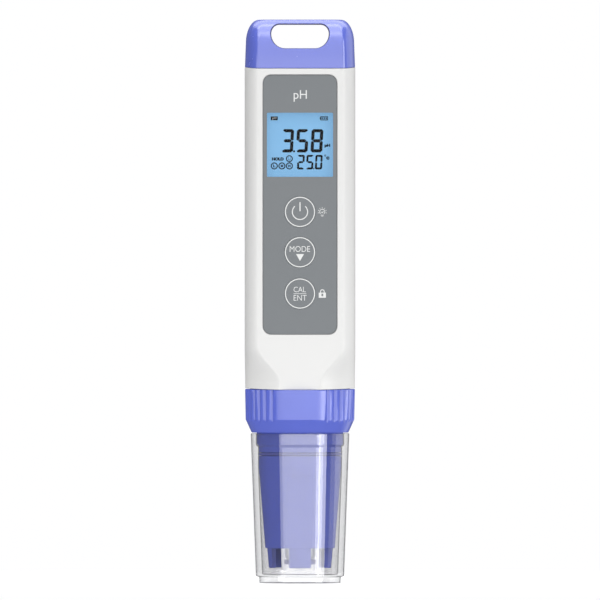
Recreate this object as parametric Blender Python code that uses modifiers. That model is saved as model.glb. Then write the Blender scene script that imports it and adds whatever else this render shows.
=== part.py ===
"""Pen-style digital pH meter, modelled as the separate pieces it comes apart into.

Frame: +Z up the pen, +Y away from the display, +X to the right of someone reading it.
The origin is the centre of the underside of the clear storage cap, on which the pen stands.
All lengths are metres.
"""
import math

import bmesh
import bpy
from mathutils import Matrix, Vector

MM = 0.001

# ---- driving dimensions -------------------------------------------------------------------
PEN_HEIGHT = 188.0 * MM
GAP = 0.3 * MM                      # between pieces that touch or slide
RECESS_GAP = 0.2 * MM               # round a piece that lies in a recess

# body section: flat front and back, elliptical flanks, short straight sides
BODY_HALF_WIDTH = 18.45 * MM
BODY_HALF_DEPTH = 17.15 * MM
BODY_FLAT = 13.85 * MM              # half width of the flat front
BODY_STRAIGHT = 5.15 * MM           # half length of the straight side
NECK_CIRCLE = 18.35 * MM            # the section turns into this circle at the lower end
NECK_STRAIGHT_ANGLE = math.radians(4.0)
FLANK_STEPS = 8
SHELL_WALL = 2.1 * MM
THICK_WALL = 3.3 * MM               # round the bore in the lower end, before it is cut
RIM = 0.35 * MM                     # small rounding at the shell's two rims

# heights, from the foot up
COLLAR_BOTTOM = 50.2 * MM
COLLAR_TOP = 64.5 * MM
SHELL_BOTTOM = COLLAR_TOP + GAP
SHELL_TOP = 171.9 * MM
BLEND_START = 66.8 * MM
BLEND_END = 79.0 * MM
BORE_TOP = 72.0 * MM                # round bore in the shell's lower end
CAP_BOTTOM = SHELL_TOP + GAP

# front panel, display and keys
FRONT = -BODY_HALF_DEPTH
PANEL_WIDTH = 24.7 * MM
PANEL_BOTTOM = 83.0 * MM
PANEL_TOP = 169.8 * MM
PANEL_CORNER = 2.5 * MM
PANEL_FRONT = FRONT + 0.3 * MM      # the panel lies a little below the shell's face
PANEL_THICK = 0.4 * MM
PANEL_RECESS = PANEL_FRONT + PANEL_THICK + RECESS_GAP
WINDOW_WIDTH = 22.0 * MM
WINDOW_HEIGHT = 21.35 * MM
WINDOW_Z = 146.15 * MM
WINDOW_RECESS = FRONT + 1.7 * MM
KEY_HEIGHTS = {"power": 123.8 * MM, "mode": 110.35 * MM, "cal": 96.6 * MM}
KEY_RADIUS = 5.2 * MM
KEY_TRAVEL = 0.4 * MM
KEY_THICK = 0.6 * MM
KEY_POCKET = PANEL_FRONT + KEY_THICK + KEY_TRAVEL + RECESS_GAP

# board stack behind the display
BOARD_FRONT = -9.0 * MM
BOARD_THICK = 1.4 * MM
BOARD_HALF_WIDTH = 13.0 * MM
BOARD_BOTTOM = 85.0 * MM
BOARD_TOP = 166.5 * MM
DISPLAY_FRAME_HALF_WIDTH = 13.6 * MM
DISPLAY_FRAME_BOTTOM = 132.6 * MM
DISPLAY_FRAME_TOP = 161.4 * MM

# battery compartment
CELL_RADIUS = 5.25 * MM
CELL_X = 5.95 * MM
CELL_Y = 4.0 * MM
CELL_BOTTOM = 126.5 * MM
CELL_LENGTH = 43.7 * MM
NUB_LENGTH = 0.8 * MM
HOLDER_BOTTOM = 119.0 * MM
HOLDER_FLOOR = 121.6 * MM
HOLDER_TOP = 168.6 * MM
SCREW_X = 10.2 * MM
SCREW_HEIGHTS = {"lower": 127.5 * MM, "upper": 163.9 * MM}

# probe, collar and storage cap
THREAD_PITCH = 2.5 * MM
THREAD_RIDGE = 0.8 * MM
NECK_OUTER = 15.2 * MM
NECK_BORE = 13.2 * MM
NECK_CREST = 16.0 * MM
COLLAR_BORE = 16.35 * MM
COLLAR_CREST = 15.5 * MM
COLLAR_LIP = 14.75 * MM
THREAD_START = 57.4 * MM
GROOVES_PER_SIDE = 14
GROOVE_FIRST = math.radians(30.8)   # from the front, round each side
GROOVE_DEPTH = 0.7 * MM
GROOVE_HALF_WIDTH = 0.9 * MM
TINE_BOTTOM = 5.0 * MM
SKIRT_EDGE = 11.6 * MM              # where the probe's cone steps in to its tines
CONE_TOP = 38.9 * MM
CYLINDER_RADIUS = 13.77 * MM        # the probe above its cone
CONE_END_RADIUS = 11.62 * MM
SENSOR_Y = 6.7 * MM
CUP_TOP = COLLAR_BOTTOM - GAP
CUP_FLOOR = 2.7 * MM

ROUND = 48                          # segments round a visible turned piece
FINE_ROUND = 28                     # segments round a small or hidden one


# ---- scene and materials ------------------------------------------------------------------
def clear_scene():
    for obj in list(bpy.data.objects):
        bpy.data.objects.remove(obj, do_unlink=True)


def new_collection(name):
    collection = bpy.data.collections.new(name)
    bpy.context.scene.collection.children.link(collection)
    return collection


def plastic(name, colour, roughness=0.4, metallic=0.0, transmission=0.0):
    material = bpy.data.materials.new(name)
    material.use_nodes = True
    shader = material.node_tree.nodes["Principled BSDF"]
    shader.inputs["Base Color"].default_value = (*colour, 1.0)
    shader.inputs["Roughness"].default_value = roughness
    shader.inputs["Metallic"].default_value = metallic
    shader.inputs["Transmission Weight"].default_value = transmission
    material.diffuse_color = (*colour, 1.0)
    return material


WHITE = (0.83, 0.84, 0.84)
BLUE = (0.16, 0.20, 0.72)
GREY = (0.24, 0.26, 0.27)
GLASS = (0.85, 0.88, 0.90)
BLACK = (0.02, 0.02, 0.02)
RUBBER = (0.05, 0.07, 0.30)
STEEL = (0.60, 0.60, 0.58)
BOARD_GREEN = (0.02, 0.18, 0.07)
BRASS = (0.72, 0.55, 0.22)


# ---- mesh tools ---------------------------------------------------------------------------
def add_object(name, mesh, material, location=(0.0, 0.0, 0.0), collection=None):
    obj = bpy.data.objects.new(name, mesh)
    obj.location = location
    if material:
        mesh.materials.append(material)
    (collection or PARTS).objects.link(obj)
    return obj


def mesh_from(name, bm):
    bmesh.ops.recalc_face_normals(bm, faces=bm.faces)
    mesh = bpy.data.meshes.new(name)
    bm.to_mesh(mesh)
    bm.free()
    return mesh


def smooth(obj, degrees=35.0):
    obj.data.shade_smooth()
    obj.data.set_sharp_from_angle(angle=math.radians(degrees))
    return obj


def loft_mesh(name, rings, wrap=False):
    """Skin rings that have the same number of points; wrap joins the last to the first."""
    bm = bmesh.new()
    rows = [[bm.verts.new(point) for point in ring] for ring in rings]
    pairs = list(zip(rows, rows[1:]))
    if wrap:
        pairs.append((rows[-1], rows[0]))
    for low, high in pairs:
        for i in range(len(low)):
            j = (i + 1) % len(low)
            bm.faces.new((low[i], low[j], high[j], high[i]))
    if not wrap:
        bm.faces.new(rows[0][::-1])
        bm.faces.new(rows[-1])
    return mesh_from(name, bm)


def turned(name, profile, material, segments=ROUND, closed=True, location=(0.0, 0.0, 0.0)):
    """Turn a profile of (radius, height) about Z with a Screw modifier.

    A closed profile is a loop off the axis. An open one starts and ends on the axis.
    Both run down their outer side.
    """
    bm = bmesh.new()
    verts = [bm.verts.new((radius, 0.0, height)) for radius, height in profile]
    for a, b in zip(verts, verts[1:]):
        bm.edges.new((a, b))
    if closed:
        bm.edges.new((verts[-1], verts[0]))
    mesh = bpy.data.meshes.new(name)
    bm.to_mesh(mesh)
    bm.free()
    obj = add_object(name, mesh, material, location)
    screw = obj.modifiers.new("turn", "SCREW")
    screw.steps = segments
    screw.render_steps = segments
    screw.use_merge_vertices = True
    screw.merge_threshold = 0.000005
    screw.use_smooth_shade = True
    return obj


def disc_profile(radius, low, high):
    """Open profile of a plain cylinder from low to high, down its outer side."""
    return [(0.0, high), (radius, high), (radius, low), (0.0, low)]


def face_front(obj):
    """Lay a piece turned about Z along Y, its top towards the front."""
    obj.rotation_euler = (math.radians(90.0), 0.0, 0.0)
    return obj


def box_mesh(name, low, high, corner=0.0, axis=1, steps=4):
    """A box, its four edges along the given axis rounded when corner is set."""
    size = Vector(high) - Vector(low)
    centre = (Vector(high) + Vector(low)) / 2
    bm = bmesh.new()
    bmesh.ops.create_cube(bm, size=1.0, matrix=Matrix.Diagonal((*size, 1.0)))
    if corner:
        across = [i for i in range(3) if i != axis]
        edges = [e for e in bm.edges
                 if all(abs(e.verts[0].co[i] - e.verts[1].co[i]) < 1e-9 for i in across)]
        bmesh.ops.bevel(bm, geom=edges, offset=corner, segments=steps, affect="EDGES")
    bmesh.ops.translate(bm, verts=bm.verts, vec=centre)
    return mesh_from(name, bm)


def box(name, low, high, material, corner=0.0, axis=1):
    return add_object(name, box_mesh(name, low, high, corner, axis), material)


def box_cutter(name, low, high, corner=0.0, axis=1):
    return hide_cutter(add_object(name, box_mesh(name, low, high, corner, axis), None,
                                  collection=CUTTERS))


def rod_cutter(name, radius, low, high, place=(0.0, 0.0), axis="Z", segments=FINE_ROUND):
    """A round cutter from low to high along Z at (x, y), or along Y at (x, z)."""
    bm = bmesh.new()
    bmesh.ops.create_cone(bm, cap_ends=True, segments=segments, radius1=radius,
                          radius2=radius, depth=high - low)
    middle = (low + high) / 2
    if axis == "Y":
        bmesh.ops.rotate(bm, verts=bm.verts, matrix=Matrix.Rotation(math.pi / 2, 3, "X"))
        spot = (place[0], middle, place[1])
    else:
        spot = (place[0], place[1], middle)
    bmesh.ops.translate(bm, verts=bm.verts, vec=spot)
    return hide_cutter(add_object(name, mesh_from(name, bm), None, collection=CUTTERS))


def hide_cutter(obj):
    obj.hide_render = True
    obj.display_type = "WIRE"
    return obj


def combine(obj, tool, operation="DIFFERENCE"):
    boolean = obj.modifiers.new(tool.name, "BOOLEAN")
    boolean.operation = operation
    boolean.solver = "EXACT"
    boolean.object = tool
    return obj


def join_tool(mesh_name, mesh):
    """A shape that is only there to be united with a part."""
    return hide_cutter(add_object(mesh_name, mesh, None, collection=CUTTERS))


def ring_seal(name, major, minor, height, material, segments=36):
    bpy.ops.mesh.primitive_torus_add(major_radius=major, minor_radius=minor,
                                     major_segments=segments, minor_segments=6,
                                     location=(0.0, 0.0, height))
    obj = bpy.context.object
    for collection in list(obj.users_collection):
        collection.objects.unlink(obj)
    PARTS.objects.link(obj)
    obj.name = name
    obj.data.name = name
    obj.data.materials.append(material)
    return smooth(obj, 80.0)


def solid_from_curve(name, points, radius, material, resolution=2):
    """A round wire along the points, made a mesh with welded caps."""
    curve = bpy.data.curves.new(name, "CURVE")
    curve.dimensions = "3D"
    curve.bevel_depth = radius
    curve.bevel_resolution = resolution
    curve.use_fill_caps = True
    spline = curve.splines.new("POLY")
    spline.points.add(len(points) - 1)
    for point, place in zip(spline.points, points):
        point.co = (*place, 1.0)
    guide = bpy.data.objects.new(name + "_curve", curve)
    PARTS.objects.link(guide)
    bpy.context.view_layer.update()
    evaluated = guide.evaluated_get(bpy.context.evaluated_depsgraph_get())
    mesh = bpy.data.meshes.new_from_object(evaluated)
    mesh.materials.clear()
    bm = bmesh.new()
    bm.from_mesh(mesh)
    bmesh.ops.remove_doubles(bm, verts=bm.verts, dist=0.000002)
    bmesh.ops.recalc_face_normals(bm, faces=bm.faces)
    bm.to_mesh(mesh)
    bm.free()
    obj = add_object(name, mesh, material)
    obj.matrix_world = guide.matrix_world
    bpy.data.objects.remove(guide, do_unlink=True)
    return smooth(obj, 80.0)


# ---- body section -------------------------------------------------------------------------
def quarter_upper(half_width, half_depth, flat, straight):
    """Front right quarter of the body section: flat, elliptical flank, straight side."""
    points = []
    for step in range(FLANK_STEPS + 1):
        turn = math.pi / 2 * step / FLANK_STEPS
        x = flat + (half_width - flat) * math.sin(turn)
        y = -(straight + (half_depth - straight) * math.cos(turn))
        points.append((x, y))
    return points


def quarter_circle(radius, half_depth):
    """The same quarter where it is a circle cut by the flat front."""
    first = math.acos(half_depth / radius)
    last = math.pi / 2 - NECK_STRAIGHT_ANGLE
    points = []
    for step in range(FLANK_STEPS + 1):
        turn = first + (last - first) * step / FLANK_STEPS
        points.append((radius * math.sin(turn), -radius * math.cos(turn)))
    return points


def full_ring(quarter, z):
    """All four quarters, anticlockwise seen from above, starting front right."""
    front_right = [(x, y, z) for x, y in quarter]
    back_right = [(x, -y, z) for x, y in reversed(quarter)]
    back_left = [(-x, -y, z) for x, y in quarter]
    front_left = [(-x, y, z) for x, y in reversed(quarter)]
    return front_right + back_right + back_left + front_left


def body_ring(z, inset=0.0):
    """The body's section at height z, moved in by inset."""
    along = min(max((z - BLEND_START) / (BLEND_END - BLEND_START), 0.0), 1.0)
    share = along * along * (3.0 - 2.0 * along)
    low = quarter_circle(NECK_CIRCLE - inset, BODY_HALF_DEPTH - inset)
    high = quarter_upper(BODY_HALF_WIDTH - inset, BODY_HALF_DEPTH - inset,
                         BODY_FLAT, BODY_STRAIGHT)
    mixed = [(a[0] + (b[0] - a[0]) * share, a[1] + (b[1] - a[1]) * share)
             for a, b in zip(low, high)]
    return full_ring(mixed, z)


# ---- body shell ---------------------------------------------------------------------------
def make_main_shell():
    blend_heights = [BLEND_START + (BLEND_END - BLEND_START) * i / 8 for i in range(9)]
    outer = [body_ring(SHELL_BOTTOM, RIM), body_ring(SHELL_BOTTOM + RIM)]
    outer += [body_ring(z) for z in blend_heights]
    outer += [body_ring(SHELL_TOP - RIM), body_ring(SHELL_TOP, RIM)]
    inner = [body_ring(SHELL_TOP, SHELL_WALL), body_ring(BLEND_END, SHELL_WALL)]
    inner += [body_ring(BORE_TOP + MM, SHELL_WALL), body_ring(BORE_TOP, THICK_WALL)]
    inner += [body_ring(SHELL_BOTTOM, THICK_WALL)]
    mesh = loft_mesh("main_shell", outer + inner, wrap=True)
    shell = add_object("main_shell", mesh, plastic("shell_white", WHITE, 0.35))
    combine(shell, rod_cutter("neck_bore", NECK_OUTER + GAP, SHELL_BOTTOM - MM,
                              BORE_TOP + 0.5 * MM, segments=ROUND))
    combine(shell, panel_recess_cutter())
    combine(shell, window_recess_cutter())
    combine(shell, window_hole_cutter())
    for key, z in KEY_HEIGHTS.items():
        combine(shell, rod_cutter("pocket_" + key, KEY_RADIUS + 0.4 * MM, FRONT - MM,
                                  KEY_POCKET, (0.0, z), "Y"))
        combine(shell, rod_cutter("stem_hole_" + key, 1.9 * MM, KEY_POCKET - MM,
                                  FRONT + 4.0 * MM, (0.0, z), "Y", 20))
    return smooth(shell)


def panel_recess_cutter():
    half = PANEL_WIDTH / 2 + RECESS_GAP
    return box_cutter("panel_recess", (-half, FRONT - MM, PANEL_BOTTOM - RECESS_GAP),
                      (half, PANEL_RECESS, PANEL_TOP + RECESS_GAP), PANEL_CORNER)


def window_recess_cutter():
    half = WINDOW_WIDTH / 2 + MM
    half_height = WINDOW_HEIGHT / 2 + MM
    return box_cutter("window_recess", (-half, FRONT - MM, WINDOW_Z - half_height),
                      (half, WINDOW_RECESS, WINDOW_Z + half_height))


def window_hole_cutter():
    half = WINDOW_WIDTH / 2 + RECESS_GAP
    half_height = WINDOW_HEIGHT / 2 + RECESS_GAP
    return box_cutter("window_hole", (-half, FRONT - MM, WINDOW_Z - half_height),
                      (half, FRONT + 4 * MM, WINDOW_Z + half_height))


def make_threaded_neck():
    """Moulded insert bonded in the shell's lower end; carries the thread and the socket."""
    web_low, web_high, web_hole = 69.0 * MM, 71.5 * MM, 7.4 * MM
    neck_end = 56.5 * MM
    profile = [(NECK_OUTER, web_high), (NECK_OUTER, neck_end), (NECK_BORE, neck_end),
               (NECK_BORE, web_low), (web_hole, web_low), (web_hole, web_high)]
    neck = turned("threaded_neck", profile, plastic("neck_white", WHITE, 0.45), 40)
    ridge = thread_mesh("neck_thread", NECK_OUTER - 0.4 * MM, NECK_CREST, THREAD_START)
    return combine(neck, join_tool("neck_thread", ridge), "UNION")


def thread_mesh(name, root, crest, start, turns=2.0, steps_per_turn=24):
    """A right-hand helical ridge: a small trapezoid carried up round the axis."""
    rings = []
    base, tip = THREAD_RIDGE / 2, THREAD_RIDGE * 0.3
    count = int(turns * steps_per_turn)
    for step in range(count + 1):
        turn = 2 * math.pi * step / steps_per_turn
        z = start + THREAD_PITCH * turn / (2 * math.pi)
        outline = [(root, z - base), (crest, z - tip), (crest, z + tip), (root, z + base)]
        rings.append([(r * math.cos(turn), r * math.sin(turn), h) for r, h in outline])
    return loft_mesh(name, rings)


# ---- front panel and keys -----------------------------------------------------------------
def make_overlay_panel():
    half = PANEL_WIDTH / 2
    mesh = box_mesh("overlay_panel", (-half, PANEL_FRONT, PANEL_BOTTOM),
                    (half, PANEL_FRONT + PANEL_THICK, PANEL_TOP), PANEL_CORNER)
    panel = add_object("overlay_panel", mesh, plastic("panel_grey", GREY, 0.5))
    half_width, half_height = WINDOW_WIDTH / 2, WINDOW_HEIGHT / 2
    combine(panel, box_cutter("panel_window", (-half_width, FRONT - MM, WINDOW_Z - half_height),
                              (half_width, FRONT + MM, WINDOW_Z + half_height), 0.4 * MM))
    for key, z in KEY_HEIGHTS.items():
        combine(panel, rod_cutter("panel_hole_" + key, KEY_RADIUS + RECESS_GAP, FRONT - MM,
                                  FRONT + MM, (0.0, z), "Y", 36))
    return panel


def make_display_window():
    half = WINDOW_WIDTH / 2 + 0.8 * MM
    half_height = WINDOW_HEIGHT / 2 + 0.8 * MM
    low = (-half, PANEL_FRONT + PANEL_THICK + GAP, WINDOW_Z - half_height)
    high = (half, WINDOW_RECESS - RECESS_GAP, WINDOW_Z + half_height)
    return box("display_window", low, high, plastic("window_clear", GLASS, 0.05, 0.0, 0.9))


def key_hub(name, z):
    """The empty that a key and its plunger travel with, on the key's axis."""
    hub = bpy.data.objects.new(name + "_press", None)
    hub.location = (0.0, PANEL_FRONT, z)
    PARTS.objects.link(hub)
    return hub


def make_key(name, z):
    """Round key top and stem, turned about the key's own axis."""
    hub = key_hub(name, z)
    edge, stem, stem_end = 0.12 * MM, 1.5 * MM, 2.9 * MM
    profile = [(0.0, 0.0), (KEY_RADIUS - edge, 0.0), (KEY_RADIUS, -edge),
               (KEY_RADIUS, -KEY_THICK), (stem, -KEY_THICK), (stem, -stem_end),
               (0.0, -stem_end)]
    key = face_front(turned(name + "_key", profile, plastic(name + "_key_grey", GREY, 0.5),
                            28, closed=False))
    rod = disc_profile(1.6 * MM, -stem_end - 2.2 * MM, -stem_end - GAP)
    plunger = face_front(turned(name + "_plunger", rod,
                                plastic(name + "_plunger_black", BLACK, 0.4), 16, closed=False))
    for obj in (key, plunger):
        obj.parent = hub
    return hub


def make_switch(name, z):
    """Tactile switch body on the board, bored for its plunger."""
    half = 3.1 * MM
    front, depth = FRONT + 4.55 * MM, BOARD_FRONT - GAP
    body = box(name + "_switch", (-half, front, z - half), (half, depth, z + half),
               plastic(name + "_switch_black", BLACK, 0.4))
    return combine(body, rod_cutter("switch_bore_" + name, 1.9 * MM, front - MM,
                                    front + 1.7 * MM, (0.0, z), "Y", 16))


# ---- display and board --------------------------------------------------------------------
def make_display_frame():
    """Carrier that holds the display cell, its light guide and contact strip to the board."""
    half = DISPLAY_FRAME_HALF_WIDTH
    wall = 0.8 * MM
    frame = box("display_frame", (-half, -14.7 * MM, DISPLAY_FRAME_BOTTOM),
                (half, BOARD_FRONT - GAP, DISPLAY_FRAME_TOP), plastic("frame_white", WHITE, 0.5))
    return combine(frame, box_cutter("frame_inside",
                                     (wall - half, -16 * MM, DISPLAY_FRAME_BOTTOM + wall),
                                     (half - wall, BOARD_FRONT, DISPLAY_FRAME_TOP - wall)))


def make_display_parts():
    half = DISPLAY_FRAME_HALF_WIDTH - 1.1 * MM
    low = DISPLAY_FRAME_BOTTOM + 1.1 * MM
    high = DISPLAY_FRAME_TOP - 1.1 * MM
    strip_top = low + 2.2 * MM
    box("lcd_glass", (-half, -14.6 * MM, low), (half, -12.6 * MM, high),
        plastic("lcd_blue", (0.25, 0.50, 0.80), 0.15))
    box("backlight_guide", (-half, -12.3 * MM, strip_top + GAP), (half, BOARD_FRONT - GAP, high),
        plastic("backlight_white", (0.75, 0.85, 0.92), 0.3))
    box("contact_strip", (-half, -12.3 * MM, low), (half, BOARD_FRONT - GAP, strip_top),
        plastic("strip_rubber", (0.35, 0.20, 0.22), 0.7))


def make_main_board():
    board = box("main_board", (-BOARD_HALF_WIDTH, BOARD_FRONT, BOARD_BOTTOM),
                (BOARD_HALF_WIDTH, BOARD_FRONT + BOARD_THICK, BOARD_TOP),
                plastic("board_green", BOARD_GREEN, 0.45), 1.0 * MM)
    for level, z in SCREW_HEIGHTS.items():
        for side, x in (("left", -SCREW_X), ("right", SCREW_X)):
            combine(board, rod_cutter("board_hole_%s_%s" % (level, side), 1.05 * MM,
                                      BOARD_FRONT - MM, BOARD_FRONT + 3 * MM, (x, z), "Y", 12))
    return board


def make_chips():
    """The processor sits on the board's back, the input amplifier on its front near the probe."""
    back = BOARD_FRONT + BOARD_THICK
    box("microcontroller", (-4.5 * MM, back + 0.1 * MM, 102 * MM),
        (4.5 * MM, back + 1.6 * MM, 111 * MM), plastic("chip_black", BLACK, 0.4))
    box("input_amplifier", (-2.5 * MM, BOARD_FRONT - 1.6 * MM, 86.6 * MM),
        (2.5 * MM, BOARD_FRONT - 0.1 * MM, 90.6 * MM), plastic("amplifier_black", BLACK, 0.4))


def make_board_screws():
    head, shank = 1.7 * MM, 0.7 * MM
    for level, z in SCREW_HEIGHTS.items():
        for side, x in (("left", -SCREW_X), ("right", SCREW_X)):
            profile = [(0.0, 1.1 * MM), (head, 1.1 * MM), (head, 0.0), (shank, 0.0),
                       (shank, -4.6 * MM), (0.0, -4.6 * MM)]
            screw = turned("board_screw_%s_%s" % (level, side), profile,
                           plastic("screw_%s_%s" % (level, side), STEEL, 0.3, 1.0), 12, False,
                           (x, BOARD_FRONT - GAP, z))
            face_front(screw)


# ---- battery compartment ------------------------------------------------------------------
def make_battery_holder():
    front, back = CELL_Y - 6.6 * MM, CELL_Y + 6.6 * MM
    half = CELL_X + 6.6 * MM
    holder = box("battery_holder", (-half, front, HOLDER_BOTTOM), (half, back, HOLDER_TOP),
                 plastic("holder_black", (0.06, 0.06, 0.07), 0.5), 1.5 * MM, 2)
    for side, x in (("left", -CELL_X), ("right", CELL_X)):
        combine(holder, rod_cutter("cell_bore_" + side, CELL_RADIUS + GAP, HOLDER_FLOOR,
                                   HOLDER_TOP + MM, (x, CELL_Y)))
    board_back = BOARD_FRONT + BOARD_THICK + GAP
    for level, z in SCREW_HEIGHTS.items():
        for side, x in (("left", -SCREW_X), ("right", SCREW_X)):
            tag = "%s_%s" % (level, side)
            post = rod_mesh("post_" + tag, 2.1 * MM, board_back, front + 0.5 * MM, (x, z))
            combine(holder, join_tool("post_" + tag, post), "UNION")
            combine(holder, rod_cutter("pilot_" + tag, 1.0 * MM, board_back - MM,
                                       front - 0.3 * MM, (x, z), "Y", 12))
    return holder


def rod_mesh(name, radius, low, high, place, segments=12):
    """A round post from low to high along Y, centred on place (x, z)."""
    bm = bmesh.new()
    bmesh.ops.create_cone(bm, cap_ends=True, segments=segments, radius1=radius,
                          radius2=radius, depth=high - low)
    bmesh.ops.rotate(bm, verts=bm.verts, matrix=Matrix.Rotation(math.pi / 2, 3, "X"))
    bmesh.ops.translate(bm, verts=bm.verts, vec=(place[0], (low + high) / 2, place[1]))
    return mesh_from(name, bm)


def make_cells():
    """Two slim round cells side by side, one of them turned over so that they add up."""
    top = CELL_BOTTOM + CELL_LENGTH
    nub = 1.9 * MM
    upright = [(0.0, top + NUB_LENGTH), (nub, top + NUB_LENGTH), (nub, top),
               (CELL_RADIUS - 0.4 * MM, top), (CELL_RADIUS, top - 0.4 * MM),
               (CELL_RADIUS, CELL_BOTTOM), (0.0, CELL_BOTTOM)]
    low = CELL_BOTTOM + NUB_LENGTH
    turned_over = [(0.0, low + CELL_LENGTH), (CELL_RADIUS, low + CELL_LENGTH),
                   (CELL_RADIUS, low + 0.4 * MM), (CELL_RADIUS - 0.4 * MM, low), (nub, low),
                   (nub, CELL_BOTTOM), (0.0, CELL_BOTTOM)]
    turned("battery_cell_left", upright, plastic("cell_left", (0.10, 0.30, 0.20), 0.3, 0.5), 24,
           False, (-CELL_X, CELL_Y, 0.0))
    turned("battery_cell_right", turned_over, plastic("cell_right", (0.10, 0.30, 0.20), 0.3, 0.5),
           24, False, (CELL_X, CELL_Y, 0.0))


def make_battery_contacts():
    """A coil under the left cell's flat end and a plate under the right cell's nub."""
    coil_radius, wire = 2.6 * MM, 0.3 * MM
    low, high = HOLDER_FLOOR + 0.6 * MM, CELL_BOTTOM - 0.6 * MM
    turns, per_turn = 3, 12
    points = []
    for step in range(turns * per_turn + 1):
        turn = 2 * math.pi * step / per_turn
        points.append((-CELL_X + coil_radius * math.cos(turn),
                       CELL_Y + coil_radius * math.sin(turn),
                       low + (high - low) * step / (turns * per_turn)))
    solid_from_curve("battery_spring", points, wire, plastic("spring_steel", STEEL, 0.3, 1.0))
    turned("battery_contact", disc_profile(3.6 * MM, CELL_BOTTOM - 4.4 * MM, CELL_BOTTOM - GAP),
           plastic("contact_brass", BRASS, 0.3, 1.0), 20, False, (CELL_X, CELL_Y, 0.0))


# ---- battery cap --------------------------------------------------------------------------
def cap_outline():
    """Half width, half depth and height up the outside of the battery cap."""
    half_width, half_depth = 18.38 * MM, 17.1 * MM
    shoulder = 180.2 * MM
    rows = [(half_width - RIM, half_depth - RIM, CAP_BOTTOM),
            (half_width, half_depth, CAP_BOTTOM + RIM),
            (half_width - 0.1 * MM, half_depth - 0.3 * MM, 175.5 * MM),
            (half_width - 0.3 * MM, half_depth - 1.4 * MM, shoulder)]
    top_width, top_depth = 13.7 * MM, 6.5 * MM
    wide, deep = rows[-1][0], rows[-1][1]
    for step in range(1, 7):
        turn = math.pi / 2 * step / 6
        out = math.cos(turn)
        rows.append((top_width + (wide - top_width) * out,
                     top_depth + (deep - top_depth) * out,
                     shoulder + (PEN_HEIGHT - shoulder) * math.sin(turn)))
    return rows


def cap_ring(half_width, half_depth, z):
    flat = BODY_FLAT * half_width / BODY_HALF_WIDTH
    straight = BODY_STRAIGHT * half_depth / BODY_HALF_DEPTH
    return full_ring(quarter_upper(half_width, half_depth, flat, straight), z)


def slot_outline():
    """Outline (x, z) of the lanyard slot: an oval with a flat top and a shorter flat floor."""
    widest, widest_z = 10.0 * MM, 183.4 * MM
    top, top_half = 186.75 * MM, 6.9 * MM
    bottom, bottom_half = 178.15 * MM, 5.0 * MM
    steps = 6
    right = []
    for step in range(steps + 1):
        turn = math.pi / 2 * step / steps
        right.append((bottom_half + (widest - bottom_half) * math.sin(turn),
                      widest_z - (widest_z - bottom) * math.cos(turn)))
    for step in range(1, steps + 1):
        turn = math.pi / 2 * step / steps
        right.append((top_half + (widest - top_half) * math.cos(turn),
                      widest_z + (top - widest_z) * math.sin(turn)))
    left = [(-x, z) for x, z in reversed(right)]
    return right + left


def make_battery_cap():
    skirt_end, groove_low, groove_high = 167.6 * MM, 169.2 * MM, 170.8 * MM
    ceiling = 175.6 * MM
    outside = SHELL_WALL + GAP
    inside = outside + 1.9 * MM
    groove = outside + 0.9 * MM
    rings = [body_ring(ceiling, inside), body_ring(skirt_end, inside),
             body_ring(skirt_end, outside), body_ring(groove_low, outside),
             body_ring(groove_low, groove), body_ring(groove_high, groove),
             body_ring(groove_high, outside), body_ring(CAP_BOTTOM, outside)]
    rings += [cap_ring(*row) for row in cap_outline()]
    cap = add_object("battery_cap", loft_mesh("battery_cap", rings),
                     plastic("cap_blue", BLUE, 0.35))
    slot_rings = [[(x, y, z) for x, z in slot_outline()] for y in (-20 * MM, 20 * MM)]
    slot_tool = add_object("lanyard_slot", loft_mesh("lanyard_slot", slot_rings), None,
                           collection=CUTTERS)
    combine(cap, hide_cutter(slot_tool))
    return smooth(cap)


def make_cap_seal():
    outside = SHELL_WALL + 0.1 * MM
    inside = SHELL_WALL + GAP + 0.7 * MM
    low, high = 169.45 * MM, 170.55 * MM
    rings = [body_ring(low, outside), body_ring(high, outside), body_ring(high, inside),
             body_ring(low, inside)]
    return add_object("cap_seal", loft_mesh("cap_seal", rings, wrap=True),
                      plastic("seal_rubber", RUBBER, 0.7))


def make_contact_bridge():
    """Plate inside the battery cap that joins the two cells' upper ends."""
    half, depth = CELL_X + 4.0 * MM, 3.6 * MM
    low = CELL_BOTTOM + CELL_LENGTH + NUB_LENGTH + GAP
    return box("contact_bridge", (-half, CELL_Y - depth, low),
               (half, CELL_Y + depth, low + 0.6 * MM),
               plastic("bridge_steel", STEEL, 0.3, 1.0), 2.0 * MM, 2)


def make_bridge_carrier():
    """Block pressed into the cap's ceiling, with the contact bridge on its underside."""
    half, depth = CELL_X + 3.0 * MM, 2.6 * MM
    low = CELL_BOTTOM + CELL_LENGTH + NUB_LENGTH + 1.2 * MM
    return box("bridge_carrier", (-half, CELL_Y - depth, low),
               (half, CELL_Y + depth, 175.3 * MM),
               plastic("carrier_black", (0.05, 0.05, 0.06), 0.5), 1.0 * MM, 2)


# ---- locking collar -----------------------------------------------------------------------
def groove_angles():
    """Middle of each grip groove, measured round the axis from the front towards +X."""
    last = math.pi - GROOVE_FIRST
    step = (last - GROOVE_FIRST) / (GROOVES_PER_SIDE - 1)
    right = [GROOVE_FIRST + step * i for i in range(GROOVES_PER_SIDE)]
    return right + [2 * math.pi - angle for angle in reversed(right)]


def collar_stations():
    """(angle, share of the groove's depth) for each point round the collar."""
    half = GROOVE_HALF_WIDTH / NECK_CIRCLE
    stations = []
    for angle in groove_angles():
        stations += [(angle - half, 0.0), (angle, 1.0), (angle + half, 0.0)]
    plain = GROOVE_FIRST - half
    for step in range(-2, 3):
        stations.append((plain * step / 3, 0.0))
        stations.append((math.pi + plain * step / 3, 0.0))
    return sorted((angle % (2 * math.pi), share) for angle, share in stations)


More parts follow.
